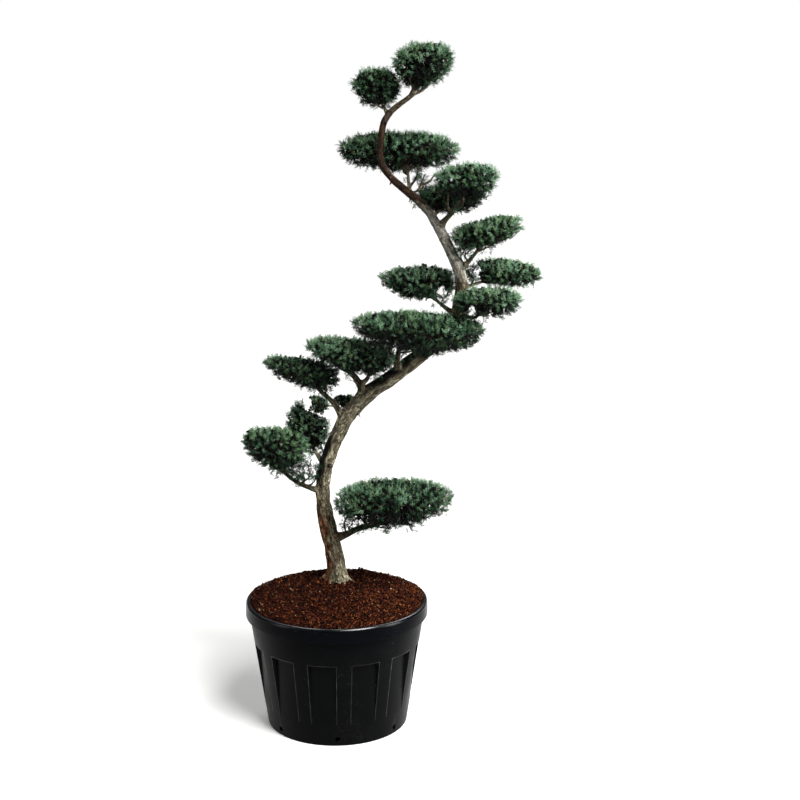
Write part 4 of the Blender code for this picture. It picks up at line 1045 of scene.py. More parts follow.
def innerSprays(form, others, wood, draw, scale, gap, stretch):
    wanted = int(form.widths[0] * form.widths[1] * innerSpray["tries"] / gap ** 2)
    surface = form.points(unit(draw.normal(size=(wanted, 3))), scale)
    ways = unit(form.outwards(surface) + np.array((0, 0, 0.2)) + draw.normal(size=(wanted, 3)) * 0.6)
    lengths = draw.uniform(*spray["length"], size=wanted) * form.small * stretch
    roots = surface - ways * lengths[:, None]
    keep = (form.depth(roots) < 0.95) & (form.depth(surface) < 1.0)
    keep &= outsideOthers(surface, others) & outsideHollows(surface, form, draw, 0.45)
    keep &= outsideOpenings(surface, form) & outsideOpenings(roots, form)
    keep[keep] = clearOfLimbs((surface - ways * lengths[:, None] * 0.4)[keep], wood)
    rows = spreadOut(surface, keep, gap * form.small)
    # the inner sprays take the near-black tint: painted shade
    tint = np.where(draw.uniform(size=len(rows)) < 0.07, deadTint, 5)
    return roots[rows], ways[rows], lengths[rows], tint


def shootSprays(form, draw):
    # a loose shoot is a thin twig with a few sprays near its end
    roots, ways, lengths, thin = [], [], [], []
    for tip in shoots.get(form.name, ()):
        tip = np.array(tip)
        inwards = unit(form.centre - tip)
        base = tip + inwards * 0.075
        thin.append(np.linspace(base, tip + inwards * 0.012, 4))
        for number in range(12):
            start = tip + inwards * (0.010 + 0.005 * number)
            way = unit(-inwards + draw.normal(size=3) * (0.3 + 0.06 * number))
            roots.append(start)
            ways.append(way)
            lengths.append(draw.uniform(0.016, 0.026))
    return np.array(roots).reshape(-1, 3), np.array(ways).reshape(-1, 3), np.array(lengths), thin


def growSprays(roots, ways, lengths, shapes, draw):
    count = len(roots)
    turn = draw.uniform(0, math.tau, count)
    side = unit(np.cross(ways, np.array((0.2, 0.1, 1.0))))
    other = np.cross(ways, side)
    sideA = side * np.cos(turn)[:, None] + other * np.sin(turn)[:, None]
    sideB = np.cross(ways, sideA)
    axes = np.stack((ways, sideA, sideB), 1) * lengths[:, None, None]
    pick = draw.integers(0, len(shapes), count)
    return roots[:, None] + np.einsum("npk,nkj->npj", shapes[pick], axes)


twigs = {
    "spraysPerLimb": 48,
    "spraysPerTwig": 9,
    "limbStart": 0.62,              # radius at its start, as a share of the bough's
    "limbLeast": 0.0032,            # but at least this; the next five lines are radii too
    "limbEnd": 0.0028,
    "twigStart": 0.0019,
    "twigEnd": 0.0011,
    "shoot": 0.0008,
    "loose": (0.0012, 0.0011, 0.0009, 0.0007),
    "limbSteps": 9,
    "twigSteps": 6,
    "limbReach": 0.78,              # limbs and twigs end at this share of the way to their sprays
    "twigReach": 0.86,
    "boughShare": 0.45,             # last part of a bough that limbs may leave from
    "boughLength": 9,               # and no more than this many steps of its route
}


def clusters(points, count, draw):
    # groups of neighbouring points, for limbs and twigs that each serve one group
    count = max(1, min(count, len(points)))
    middles = points[draw.choice(len(points), count, replace=False)]
    for _ in range(7):
        nearest = np.linalg.norm(points[:, None] - middles[None], axis=2).argmin(1)
        for number in range(count):
            if (nearest == number).any():
                middles[number] = points[nearest == number].mean(0)
    return nearest, middles


def bowedPath(start, way, end, steps, draw, wobble):
    reach = np.linalg.norm(end - start)
    middle = start + way * reach * 0.5
    t = np.linspace(0, 1, steps)[:, None]
    path = start * (1 - t) ** 2 + 2 * middle * t * (1 - t) + end * t * t
    shake = draw.normal(size=(steps, 3)) * reach * wobble
    shake[0] = 0
    shake[-1] = 0
    return path + shake


def thinTubes(paths, radii, sides):
    # many round twigs of the same count of points, closed to a point at both ends
    paths = np.asarray(paths)
    radii = np.asarray(radii)
    count, steps = radii.shape
    chord = unit(paths[:, -1] - paths[:, 0])
    sideA = unit(np.cross(chord, (0.31, 0.52, 0.79)))
    ring = ringWays(sideA, np.cross(chord, sideA), sides)
    rings = paths[:, :, None] + ring[:, None] * radii[:, :, None, None]
    ends = np.stack((paths[:, 0] - chord * radii[:, :1], paths[:, -1] + chord * radii[:, -1:] * 2), 1)
    points = np.concatenate((rings.reshape(count, -1, 3), ends), 1)
    return points.reshape(-1, 3), repeated(count, steps * sides + 2, tubeFaces(steps, sides))


def growTwigs(form, carriers, roots, extra, draw):
    # limbs fan out from the bough and its stem, twigs leave them, and a shoot meets each spray
    parts = []
    nodes = []
    limbGroup, limbMiddles = clusters(roots, round(len(roots) / twigs["spraysPerLimb"]), draw)
    for number, middle in enumerate(limbMiddles):
        mine = roots[limbGroup == number]
        if not len(mine):
            continue
        carrier = min(carriers, key=lambda route: np.linalg.norm(route[-1, :3] - middle))
        tail = carrier[-max(2, min(int(len(carrier) * twigs["boughShare"]), twigs["boughLength"])):]
        gaps = np.linalg.norm(tail[:, :3] - middle, axis=1)
        spot = min(len(tail) - 1, int(gaps.argmin() * draw.uniform(0.7, 1.0)))
        start = tail[spot, :3]
        way = unit(tail[min(spot + 1, len(tail) - 1), :3] - tail[max(spot - 1, 0), :3])
        hub = form.centre + (start - form.centre) * 0.35
        end = hub + (middle - hub) * twigs["limbReach"]
        path = bowedPath(start, unit(way + unit(end - start)), end, twigs["limbSteps"], draw, 0.02)
        girth = max(tail[spot, 3] / 2 * twigs["limbStart"], twigs["limbLeast"])
        parts.append(thinTubes([path], [np.linspace(girth, twigs["limbEnd"], twigs["limbSteps"])], 7))
        nodes.append(path[4:])
        _, twigMiddles = clusters(mine, round(len(mine) / twigs["spraysPerTwig"]), draw)
        ends = []
        widths = []
        for twigMiddle in twigMiddles:
            begin = path[draw.integers(3, twigs["limbSteps"])]
            twigEnd = begin + (twigMiddle - begin) * twigs["twigReach"]
            bow = unit(unit(end - start) * 0.6 + unit(twigEnd - begin) + draw.normal(size=3) * 0.3)
            ends.append(bowedPath(begin, bow, twigEnd, twigs["twigSteps"], draw, 0.03))
            widths.append(np.linspace(twigs["twigStart"], twigs["twigEnd"], twigs["twigSteps"]))
        parts.append(thinTubes(ends, widths, 5))
        nodes.append(np.array(ends)[:, 2:].reshape(-1, 3))
    nodes = np.concatenate(nodes)
    nearest = np.linalg.norm(roots[:, None] - nodes[None], axis=2).argmin(1)
    begin = nodes[nearest]
    middle = (begin + roots) / 2 + draw.normal(size=roots.shape) * 0.003
    paths = np.stack((begin, middle, roots), 1)
    radii = (twigs["twigEnd"], twigs["shoot"], twigs["shoot"])
    parts.append(thinTubes(paths, np.tile(radii, (len(roots), 1)), 3))
    if extra:
        parts.append(thinTubes(extra, np.tile(twigs["loose"], (len(extra), 1)), 4))
    return joined(parts)


def foliageMaterials():
    # scale leaves with a waxy bloom: matt, blue-green, one plain colour to a spray; the darkest tints are
    # painted shade
    made = []
    for number, tint in enumerate(tints):
        material, _, _ = newMaterial(f"cypress_scale_leaves_{number}", tint, 0.62,
                                     {"Specular IOR Level": 0.15})
        made.append(material)
    return made


def twigMaterial():
    # young twigs: thin grey-brown bark in lighter and darker blotches
    material, tree, shader = newMaterial("cypress_twig_bark", "#6d5c49", 0.85, {"Specular IOR Level": 0.25})
    place = addNode(tree, "TexCoord", {})
    blotches = addNode(tree, "TexNoise", {"Vector": place.outputs["Object"], "Scale": 45.0, "Detail": 3.0})
    colour = addNode(tree, "ValToRGB", {"Fac": blotches.outputs["Fac"]},
                     stops=((0.35, rgba("#211913")), (0.52, rgba("#51463a")), (0.68, rgba("#91856f"))))
    tree.links.new(colour.outputs["Color"], shader.inputs["Base Color"])
    return material


def makeMasses(routes):
    wood = np.concatenate(list(routes.values()))
    forms = [PadForm(name) for name in masses]
    shapes, faces = sprayVariants(spray, np.random.default_rng(11))
    innerShapes, innerFaces = sprayVariants(innerSpray, np.random.default_rng(12))
    leaves = foliageMaterials()
    twigBark = twigMaterial()
    total = 0
    for number, form in enumerate(forms):
        draw = np.random.default_rng(100 + number)
        others = [other for other in forms if other is not form]
        carriers = [routes[name] for name, bough in boughs.items() if bough[1] == form.name]
        if form.name == trunk["tipMass"]:
            carriers = [routes["trunk"]]
        forks, outer = outerSprays(form, others, wood, draw)
        loose = shootSprays(form, draw)
        stray = straySprays(form, draw)
        fresh = [np.concatenate(parts) for parts in
                 zip(outer, (*loose[:3], np.full(len(loose[0]), 2)),
                     (*stray[:3], draw.integers(2, 5, len(stray[0]))))]
        layers = [innerSprays(form, others, wood, draw, *layer) for layer in innerLayers]
        shaded = [np.concatenate(parts) for parts in zip(*layers)]
        parts = []
        slots = []
        for group, shape, shapeFaces in ((fresh, shapes, faces), (shaded, innerShapes, innerFaces)):
            points = growSprays(*group[:3], shape, draw)
            count, each = points.shape[:2]
            parts.append((points.reshape(-1, 3), repeated(count, each, shapeFaces)))
            slots.append(np.repeat(group[3], len(shapeFaces)))
        piece = pieceFromArrays("sprays_" + form.name, *joined(parts), leaves, np.concatenate(slots))
        finishPiece(piece, "foliage", form.name)
        total += len(piece.data.polygons)
        roots = np.concatenate((forks, shaded[0]))
        wooden = joined([growTwigs(form, carriers, roots, loose[3], draw), *stray[3]])
        piece = pieceFromArrays("twigs_" + form.name, *wooden, [twigBark])
        piece.data.shade_smooth()
        finishPiece(piece, "bark", form.name)
        total += len(piece.data.polygons)
    print(f"foliage and twigs: {total} triangles in all")


# Nursery pot, in the solids' sizes
pot = {
    "sides": 180,
    "baseRadius": 0.3065,
    "corner": 0.008,
    "wallTop": 0.488,
    "wallTopRadius": 0.380,
    "lipRadius": 0.397,
    "mouth": 0.376,
    "height": 0.550,
    "wall": 0.004,
    "floor": 0.006,
    "panels": 12,
    "panelAngle": 20,               # degrees
    "firstPanel": 22,               # from the front towards +X
    "panelFoot": 0.100,
    "panelTop": 0.378,
    "panelDepth": 0.018,
    # width of the paler line round each panel's edge: a painted highlight
    "highlightLine": 0.0022,
    "panelBevel": 0.0035,
    "panelBevelInside": 0.0030,
    "edgeBevel": 0.0034,
    "standRing": 0.030,             # width of the ring that the pot stands on
    "dishEdge": 0.006,
    "dish": 0.0025,                 # how far the rest of the underside is raised
    "drains": 7,
    "firstDrain": 2.3,
    "drainHeight": 0.032,
    "drainRadius": 0.011,
}


def wallRadius(z):
    share = (z - pot["corner"]) / (pot["wallTop"] - pot["corner"])
    return pot["baseRadius"] + share * (pot["wallTopRadius"] - pot["baseRadius"])


def potProfile():
    # (radius, height) from the edge of the underside up, over the lip and down inside
    base, lip, mouth, height = pot["baseRadius"], pot["lipRadius"], pot["mouth"], pot["height"]
    foot, top, wall = pot["panelFoot"], pot["panelTop"], pot["wall"]
    under = pot["wallTop"]
    return (
        (base - 0.0030, 0.0008), (base - 0.0008, 0.0030), (base, pot["corner"]),
        (wallRadius(foot), foot), (wallRadius(top), top),
        (wallRadius(under - 0.010), under - 0.010), (wallRadius(under), under + 0.012),
        (lip - 0.0065, under + 0.014), (lip - 0.0050, under + 0.001), (lip - 0.0035, under),
        (lip - 0.0005, under + 0.0015), (lip, under + 0.006),
        (lip, height - 0.012), (lip - 0.0015, height - 0.0060), (lip - 0.0055, height - 0.0014),
        (lip - 0.0100, height), (mouth + 0.0040, height), (mouth + 0.0010, height - 0.0012),
        (mouth, height - 0.0050), (mouth, 0.486),
        (wallRadius(top) - wall, top), (wallRadius(foot) - wall, foot),
        (base - wall - pot["corner"], pot["floor"]),
    )


def selectPanels(mesh, outside):
    def inPanel(face):
        middle = face.calc_center_median()
        out = Vector((middle.x, middle.y, 0))
        if not pot["panelFoot"] < middle.z < pot["panelTop"] or (face.normal.dot(out) > 0) != outside:
            return False
        angle = math.degrees(math.atan2(middle.x, -middle.y)) - pot["firstPanel"]
        spacing = 360 / pot["panels"]
        return abs((angle + spacing / 2) % spacing - spacing / 2) < pot["panelAngle"] / 2
    for face in mesh.faces:
        face.select_set(inPanel(face))


def paintRims(obj):
    # the edge round each panel gets a paler material, a painted highlight, not at its foot, where the dent
    # has faded out
    mesh = bmesh.from_edit_mesh(obj.data)
    inside = {vertex for face in mesh.faces if face.select for vertex in face.verts}
    for face in mesh.faces:
        held = sum(vertex in inside for vertex in face.verts)
        if 0 < held < len(face.verts) and face.calc_center_median().z > pot["panelFoot"] + 0.02:
            face.material_index = 2
    bmesh.update_edit_mesh(obj.data)


def pressPanels(obj, bevel, outside):
    # insets the panels, then draws their top edge in, so that the dent fades out to the foot
    mesh = bmesh.from_edit_mesh(obj.data)
    bpy.ops.mesh.select_mode(type="FACE")
    bpy.ops.mesh.select_all(action="DESELECT")
    selectPanels(mesh, outside)
    bmesh.update_edit_mesh(obj.data)
    if outside:
        bpy.ops.mesh.inset(thickness=pot["highlightLine"], use_even_offset=True)
        paintRims(obj)
    bpy.ops.mesh.inset(thickness=bevel, use_even_offset=True)
    mesh = bmesh.from_edit_mesh(obj.data)
    inside = {vertex for face in mesh.faces if face.select for vertex in face.verts}
    bpy.ops.mesh.select_mode(type="VERT")
    bpy.ops.mesh.select_all(action="DESELECT")
    mesh = bmesh.from_edit_mesh(obj.data)
    for vertex in inside:
        vertex.select_set(vertex.co.z > (pot["panelFoot"] + pot["panelTop"]) / 2)
    mesh.select_flush_mode()
    bmesh.update_edit_mesh(obj.data)
    radius = wallRadius(pot["panelTop"]) - (0 if outside else pot["wall"])
    shrink = (radius - pot["panelDepth"]) / radius
    bpy.ops.transform.resize(value=(shrink, shrink, 1), center_override=(0, 0, pot["panelTop"]))


def makePot():
    deselectAll()
    radius, height = pot["baseRadius"] - pot["corner"], 0.0
    bpy.ops.mesh.primitive_circle_add(vertices=pot["sides"], radius=radius, fill_type="NOTHING")
    obj = bpy.context.object
    obj.name = "nursery_pot"
    bpy.ops.object.mode_set(mode="EDIT")
    bpy.ops.mesh.select_all(action="SELECT")
    for newRadius, newHeight in potProfile():
        extrudeRing(newHeight - height, newRadius / radius)
        radius, height = newRadius, newHeight
    bpy.ops.mesh.edge_face_add()                # floor inside
    capRim(obj)                                 # underside
    # a shallow dished underside inside the ring that it stands on
    bpy.ops.mesh.inset(thickness=pot["standRing"])
    bpy.ops.mesh.inset(thickness=pot["dishEdge"])
    bpy.ops.transform.translate(value=(0, 0, pot["dish"]))
    bpy.ops.mesh.select_all(action="SELECT")
    bpy.ops.mesh.normals_make_consistent(inside=False)
    pressPanels(obj, pot["panelBevel"], True)
    pressPanels(obj, pot["panelBevelInside"], False)
    bpy.ops.object.mode_set(mode="OBJECT")
    cutDrains(obj)
    # the bevels take a pale material: a painted highlight along the pot's sharp edges, with scuffs
    edgeHighlight, _, _ = newMaterial("polypropylene_edge_highlight_and_scuffs", "#8a8e90", 0.4, {"Specular IOR Level": 0.3})
    obj.data.materials.append(potMaterial())
    obj.data.materials.append(edgeHighlight)
    obj.data.materials.append(rubbedHighlightMaterial())
    applyModifier(obj, "BEVEL", {"width": pot["edgeBevel"], "segments": 3, "limit_method": "ANGLE",
                                 "angle_limit": math.radians(38), "material": 1, "use_clamp_overlap": True})
    activate(obj)
    bpy.ops.object.shade_smooth_by_angle(angle=math.radians(30))
    finishPiece(obj, "pot_plastic", "pot")


def cutDrains(obj):
    cutters = []
    for number in range(pot["drains"]):
        angle = math.radians(pot["firstDrain"] + number * 360 / pot["drains"])
        deselectAll()
        radius = pot["baseRadius"]
        place = (math.sin(angle) * radius, -math.cos(angle) * radius, pot["drainHeight"])
        bpy.ops.mesh.primitive_cylinder_add(vertices=28, radius=pot["drainRadius"], depth=0.030,
                                            location=place, rotation=(math.pi / 2, 0, angle))
        cutters.append(bpy.context.object)
    for cutter in cutters:
        modifier = obj.modifiers.new("Drain", "BOOLEAN")
        modifier.object = cutter
        modifier.solver = "EXACT"
        activate(obj)
        bpy.ops.object.modifier_apply(modifier=modifier.name)
        bpy.data.objects.remove(cutter, do_unlink=True)


def rubbedHighlightMaterial():
    # painted highlight on the edges round the panels: paler plastic, more in some places, less near the foot
    material, tree, shader = newMaterial("polypropylene_panel_highlight", "#3d4143", 0.4, {"Specular IOR Level": 0.2})
    place = addNode(tree, "TexCoord", {})
    parts = addNode(tree, "SeparateXYZ", {"Vector": place.outputs["Object"]})
    highlightNoise = addNode(tree, "TexNoise", {"Vector": place.outputs["Object"], "Scale": 16.0, "Detail": 4.0})
    uneven = addNode(tree, "MapRange", {"Value": highlightNoise.outputs["Fac"], "From Min": 0.45, "From Max": 0.62,
                                        "To Min": 0.0, "To Max": 1.0})
    height = addNode(tree, "MapRange", {"Value": parts.outputs["Z"], "From Min": 0.12, "From Max": 0.36,
                                        "To Min": 0.15, "To Max": 1.0})
    share = addNode(tree, "Math", {0: uneven.outputs[0], 1: height.outputs[0]}, operation="MULTIPLY")
    colour = addNode(tree, "Mix", {0: share.outputs[0], 6: rgba("#0b0c0c"), 7: rgba("#565b5e")},
                     data_type="RGBA")
    tree.links.new(colour.outputs[2], shader.inputs["Base Color"])
    return material


def potMaterial():
    # injection-moulded black polypropylene: soft sheen, grey-green dust on the wall that is partly painted
    # sheen, fine drag scuffs
    material, tree, shader = newMaterial("black_polypropylene", "#07080a", 0.36, {})
    place = addNode(tree, "TexCoord", {})
    parts = addNode(tree, "SeparateXYZ", {"Vector": place.outputs["Object"]})
    dustAndSheen = addNode(tree, "TexNoise", {"Vector": place.outputs["Object"], "Scale": 9.0, "Detail": 6.0,
                                      "Roughness": 0.65})
    # the wall below the lip is mixed towards grey-green, partly dust and partly painted sheen; the lip stays
    # darker and bluer black, a painted reflection
    height = addNode(tree, "MapRange", {"Value": parts.outputs["Z"], "From Min": 0.50, "From Max": 0.40,
                                        "To Min": 0.0, "To Max": 1.0})
    share = addNode(tree, "Math", {0: height.outputs[0], 1: dustAndSheen.outputs["Fac"]}, operation="MULTIPLY")
    colour = addNode(tree, "Mix", {0: share.outputs[0], 6: rgba("#030408"), 7: rgba("#0d0e0b")},
                     data_type="RGBA")
    # drag scuffs: hair-thin pale arcs a few centimetres long
    bent = addNode(tree, "TexNoise", {"Vector": place.outputs["Object"], "Scale": 14.0})
    shifted = addNode(tree, "Mix", {0: 0.06, 4: place.outputs["Object"], 5: bent.outputs["Color"]},
                      data_type="VECTOR")
    scuffs = addNode(tree, "TexNoise", {"Vector": shifted.outputs[1], "Scale": 60.0, "Detail": 2.0})
    lines = addNode(tree, "ValToRGB", {"Fac": scuffs.outputs["Fac"]},
                    stops=((0.498, (0, 0, 0, 1)), (0.503, (0.30, 0.30, 0.30, 1)), (0.508, (0, 0, 0, 1))))
    where = addNode(tree, "ValToRGB", {"Fac": dustAndSheen.outputs["Fac"]},
                    stops=((0.52, (0, 0, 0, 1)), (0.62, (1, 1, 1, 1))))
    scratch = addNode(tree, "Math", {0: lines.outputs["Color"], 1: where.outputs["Color"]},
                      operation="MULTIPLY")
    marked = addNode(tree, "Mix", {0: scratch.outputs[0], 6: colour.outputs[2], 7: rgba("#7a7e80")},
                     data_type="RGBA")
    tree.links.new(marked.outputs[2], shader.inputs["Base Color"])
    rough = addNode(tree, "MapRange", {"Value": dustAndSheen.outputs["Fac"], "From Min": 0.3, "From Max": 0.7,
                                       "To Min": 0.26, "To Max": 0.44})
    wiped = addNode(tree, "MapRange", {"Value": parts.outputs["Z"], "From Min": 0.486, "From Max": 0.530,
                                       "To Min": 1.0, "To Max": 0.6})
    softness = addNode(tree, "Math", {0: rough.outputs[0], 1: wiped.outputs[0]}, operation="MULTIPLY")
    tree.links.new(softness.outputs[0], shader.inputs["Roughness"])
    # the lip is handled and wiped, so it shines more than the dull wall
    shine = addNode(tree, "MapRange", {"Value": parts.outputs["Z"], "From Min": 0.538, "From Max": 0.549,
                                       "To Min": 0.03, "To Max": 0.50})
    tree.links.new(shine.outputs[0], shader.inputs["Specular IOR Level"])
    grain = addNode(tree, "TexNoise", {"Vector": place.outputs["Object"], "Scale": 420.0, "Detail": 2.0})
    bump = addNode(tree, "Bump", {"Height": grain.outputs["Fac"], "Strength": 0.25, "Distance": 0.0006})
    tree.links.new(bump.outputs["Normal"], shader.inputs["Normal"])
    return material


mulch = {
    "edge": 0.548,                  # height at the pot's rim
    "radius": 0.375,
    "patch": 0.110,                 # level patch round the trunk
    "bedFoot": 0.500,
    "bedDepth": 0.036,
    "sunk": 0.004,                  # the bed lies this far under the chips
    "trunkClear": 0.046,            # no chips nearer than this to the trunk's middle
    "spilt": 0.11,                  # share of the chips behind that lie on or near the rim
    "sides": 150,
    "rings": 36,
    "chips": 9500,
    "fibres": 8000,
    "chipLength": (0.008, 0.026),
    "colours": ("#200a05", "#431b0f", "#64321d", "#8c512a", "#0a0302", "#b59c7c"),
    "shares": (0.27, 0.27, 0.17, 0.08, 0.20, 0.01),
}


def mulchHeight(x, y):
    # a low mound, highest round the trunk behind the middle, with lumps
    foot = trunk["foot"]
    share = np.zeros_like(x)
    for _ in range(12):             # rings slide from the trunk to the pot's axis as they widen
        away = np.hypot(x - foot[0] * (1 - share), y - foot[1] * (1 - share))
        share = np.clip((away - mulch["patch"]) / (mulch["radius"] - mulch["patch"]), 0, 1)
    level = mulch["edge"] + (foot[2] - mulch["edge"]) * (1 - share ** 1.9)
    lumps = np.array([0.010 * noise.noise(Vector((a * 14, b * 14, 1)))
                      + 0.011 * noise.noise(Vector((a * 38, b * 38, 4)))
                      + 0.006 * noise.noise(Vector((a * 90, b * 90, 7)))
                      for a, b in zip(np.ravel(x), np.ravel(y))])
    lumps = lumps.reshape(np.shape(x)) * (0.45 + 0.55 * np.minimum(share * 2, 1))
    return level + lumps * (1 - 0.6 * share ** 8)


def mulchMaterials():
    # shredded bark and coir, moist: rough red-brown fibres, no sheen
    made = []
    for number, colour in enumerate(mulch["colours"]):
        material, tree, shader = newMaterial(f"shredded_bark_{number}", colour, 0.9,
                                             {"Specular IOR Level": 0.08})
        place = addNode(tree, "TexCoord", {})
        grain = addNode(tree, "TexNoise", {"Vector": place.outputs["Object"], "Scale": 330.0,
                                           "Detail": 3.0})
        shade = addNode(tree, "ValToRGB", {"Fac": grain.outputs["Fac"]},
                        stops=((0.3, (0.45, 0.42, 0.40, 1)), (0.7, (1.35, 1.35, 1.35, 1))))
        mixed = addNode(tree, "Mix", {0: 1.0, 6: rgba(colour), 7: shade.outputs["Color"]}, data_type="RGBA",
                        blend_type="MULTIPLY")
        tree.links.new(mixed.outputs[2], shader.inputs["Base Color"])
        bump = addNode(tree, "Bump", {"Height": grain.outputs["Fac"], "Strength": 0.6, "Distance": 0.001})
        tree.links.new(bump.outputs["Normal"], shader.inputs["Normal"])
        made.append(material)
    return made


def makeMulch():
    materials = mulchMaterials()
    deselectAll()
    bpy.ops.mesh.primitive_circle_add(vertices=mulch["sides"], radius=mulch["radius"], fill_type="NOTHING",
                                      location=(0, 0, mulch["bedFoot"]))
    bed = bpy.context.object
    bed.name = "mulch_bed"
    bpy.ops.object.mode_set(mode="EDIT")
    bpy.ops.mesh.select_all(action="SELECT")
    extrudeRing(mulch["bedDepth"], 1)
    for ring in range(mulch["rings"] - 1, 0, -1):
        extrudeRing(0, ring / (ring + 1))
    bpy.ops.mesh.edge_face_add()
    bpy.ops.mesh.poke()
    capRim(bed)
    bpy.ops.mesh.select_all(action="SELECT")
    bpy.ops.mesh.normals_make_consistent(inside=False)
    bpy.ops.object.mode_set(mode="OBJECT")
    bpy.ops.object.transform_apply(location=True)
    points = readPoints(bed.data)
    top = points[:, 2] > mulch["bedFoot"] + mulch["bedDepth"] / 2
    points[top, 2] = mulchHeight(points[top, 0], points[top, 1]) - mulch["sunk"]
    bed.data.vertices.foreach_set("co", points.ravel())
    bed.data.update()
    bed.data.shade_smooth()
    bed.data.materials.append(materials[0])
    finishPiece(bed, "mulch", "soil")
    scatterChips(materials)


def scatterChips(materials):
    draw = np.random.default_rng(23)
    count = mulch["chips"] + mulch["fibres"]
    angle = draw.uniform(0, math.tau, count)
    away = (mulch["radius"] - 0.004) * np.sqrt(draw.uniform(0, 1, count))
    spilt = (np.sin(angle) > -0.1) & (draw.uniform(size=count) < mulch["spilt"])
    away = np.where(spilt, draw.uniform(mulch["radius"] - 0.020, mulch["radius"] + 0.014, count), away)
    x = away * np.cos(angle)
    y = away * np.sin(angle)
    foot = trunk["foot"]
    free = np.hypot(x - foot[0], y - foot[1]) > mulch["trunkClear"]
    x, y = x[free], y[free]
    count = len(x)
    isChip = np.arange(count) < mulch["chips"]
    z = mulchHeight(x, y) + draw.uniform(-0.006, 0.004, count)
    z = np.where(spilt[free], np.maximum(z, pot["height"] + draw.uniform(0.001, 0.006, count)), z)
    heading = draw.uniform(0, math.tau, count)
    rise = draw.normal(size=count) * 0.45
    ways = np.stack((np.cos(heading) * np.cos(rise), np.sin(heading) * np.cos(rise), np.sin(rise)), -1)
    side = unit(np.cross(ways, np.array((0, 0, 1.0)) + draw.normal(size=(count, 3)) * 0.5))
    up = np.cross(side, ways)
    length = draw.uniform(*mulch["chipLength"], size=count) * np.where(isChip, 0.75, 1.35)
    width = np.where(isChip, draw.uniform(0.0035, 0.0095, count), draw.uniform(0.0009, 0.0018, count))
    thick = np.where(isChip, draw.uniform(0.0020, 0.0055, count), width)
    # an eight-sided shard: two ends and four corners round its middle
    corners = np.array(((-0.5, 0, 0), (0.5, 0, 0), (0, 0.5, 0.1), (0.1, 0, 0.5), (0, -0.5, -0.1),
                        (-0.1, 0, -0.5)))
    uneven = draw.uniform(-0.14, 0.14, size=(count, 6, 3))
    corners = corners + uneven * np.where(isChip, 1, 0.5)[:, None, None]
    scale = np.stack((length, width, thick), -1)[:, None]
    axes = np.stack((ways, side, up), 1)
    points = np.stack((x, y, z), -1)[:, None] + np.einsum("npk,nkj->npj", corners * scale, axes)
    # behind, some chips lie on the rim
    limit = mulch["radius"] - 0.0005 + 0.016 * smoothStep(-0.05, 0.15, y)[:, None]
    reach = np.hypot(points[..., 0], points[..., 1])
    points[..., :2] *= np.minimum(1, limit / np.maximum(reach, 1e-6))[..., None]
    faces = np.array(((1, 2, 3), (1, 3, 4), (1, 4, 5), (1, 5, 2), (0, 3, 2), (0, 4, 3), (0, 5, 4), (0, 2, 5)))
    tint = draw.choice(len(mulch["shares"]), size=count, p=mulch["shares"])
    # painted light and shade: chips at the front right, towards the key light, get brighter orange tints, and
    # some at the back left the near-black one
    towardsLight = (x - y) / 0.37
    tint = np.where((towardsLight > 0.4) & (tint == 0) & (draw.uniform(size=count) < 0.45), 2, tint)
    tint = np.where((towardsLight > 0.6) & (tint == 1) & (draw.uniform(size=count) < 0.35), 3, tint)
    tint = np.where((towardsLight < -0.6) & (tint == 2) & (draw.uniform(size=count) < 0.6), 4, tint)
    piece = pieceFromArrays("mulch_chips", points.reshape(-1, 3), repeated(count, 6, faces), materials,
                            np.repeat(tint, len(faces)))
    finishPiece(piece, "mulch", "soil")


studio = {
    "floorSize": 60,
    "floorColour": "#fbfbf9",
    "floorGlow": 0.20,              # keeps the floor's shadows pale
    "worldLight": 0.085,
    "sun": 3.9,
    "sunAngle": 26,                 # degrees across, for soft shadows
    "sunWay": (-0.46, 0.60, -1.0),
    # power, width and height, place, and the point that each one faces
    "softboxes": {
        "left_softbox": (25, (1.4, 3.4), (-4.2, -1.6, 1.8), (0, 0, 1.0)),
        "right_softbox": (110, (1.4, 3.4), (4.4, -1.2, 1.8), (0.2, 0, 1.0)),
        "high_softbox": (34, (1.0, 1.0), (1.8, -1.8, 3.3), (0.5, 0, 2.1)),
        "back_softbox": (90, (3.0, 2.0), (0.5, 4.5, 4.5), (0.2, 0, 1.4)),
    },
    "lens": 67.85,
    "sensor": 36,
    "lookDown": 10.19,              # degrees
    "shift": -0.06,
}


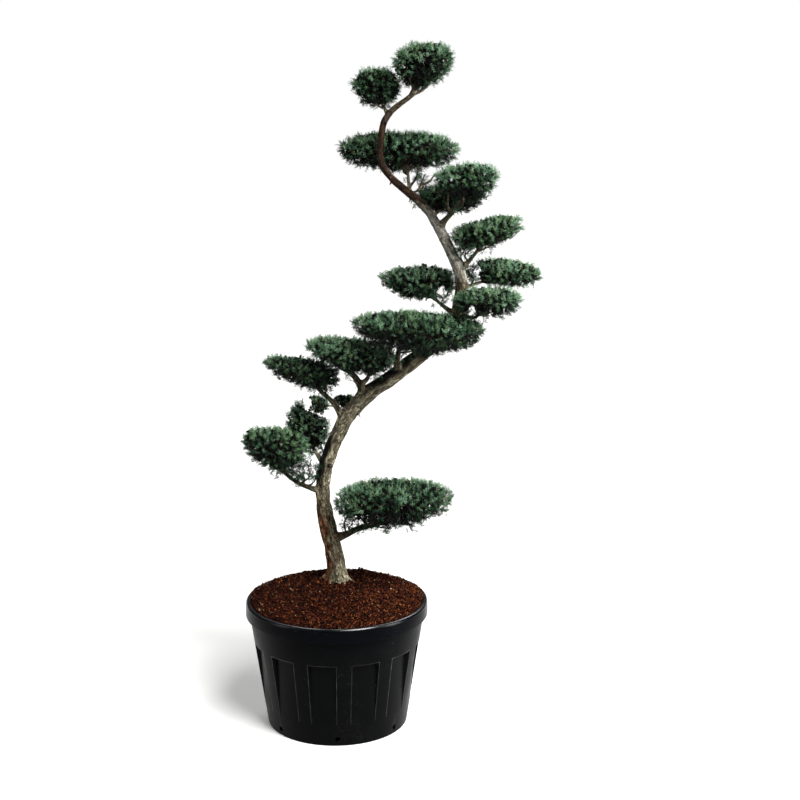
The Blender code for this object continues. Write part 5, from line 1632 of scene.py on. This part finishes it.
def areaLight(name, power, size, place, aim):
    light = bpy.data.lights.new(name, "AREA")
    light.energy = power
    light.shape = "RECTANGLE"
    light.size, light.size_y = size
    lamp = bpy.data.objects.new(name, light)
    bpy.context.scene.collection.objects.link(lamp)
    lamp.location = place
    lamp.visible_camera = False
    lamp.rotation_euler = (Vector(aim) - Vector(place)).to_track_quat("-Z", "Y").to_euler()


def makeStudio():
    scene = bpy.context.scene
    scene.view_settings.view_transform = "Standard"
    deselectAll()
    bpy.ops.mesh.primitive_plane_add(size=studio["floorSize"])
    floor = bpy.context.object
    floor.name = "studio_floor"
    material, _, _ = newMaterial("matt_white_floor", studio["floorColour"], 0.9, {"Specular IOR Level": 0.1,
                                 "Emission Color": (1, 1, 1, 1), "Emission Strength": studio["floorGlow"]})
    floor.data.materials.append(material)
    floor.visible_diffuse = False               # its bounce would light the undersides too much
    light = bpy.data.lights.new("key_light", "SUN")
    light.energy = studio["sun"]
    light.angle = math.radians(studio["sunAngle"])
    lamp = bpy.data.objects.new("key_light", light)
    scene.collection.objects.link(lamp)
    lamp.rotation_euler = Vector(studio["sunWay"]).to_track_quat("-Z", "Y").to_euler()
    for name, values in studio["softboxes"].items():
        areaLight(name, *values)
    world = bpy.data.worlds.new("studio_white")
    scene.world = world
    world.use_nodes = True
    tree = world.node_tree
    background = tree.nodes["Background"]
    background.inputs["Color"].default_value = (1, 1, 1, 1)
    path = addNode(tree, "LightPath", {})
    strength = addNode(tree, "MapRange", {"Value": path.outputs["Is Camera Ray"],
                                          "To Min": studio["worldLight"], "To Max": 1.0})
    tree.links.new(strength.outputs[0], background.inputs["Strength"])
    camera = bpy.data.cameras.new("photo_camera")
    camera.lens = studio["lens"]
    camera.sensor_width = studio["sensor"]
    camera.shift_y = studio["shift"]
    viewer = bpy.data.objects.new("photo_camera", camera)
    scene.collection.objects.link(viewer)
    viewer.location = viewpoint
    viewer.rotation_euler = (math.radians(90 - studio["lookDown"]), 0, 0)
    scene.camera = viewer


print("camera and studio")
makeStudio()
print("trunk and boughs")
routes = limbRoutes()
makeWood(routes)
print("clipped masses")
makeMasses(routes)
print("pot")
makePot()
print("mulch")
makeMulch()
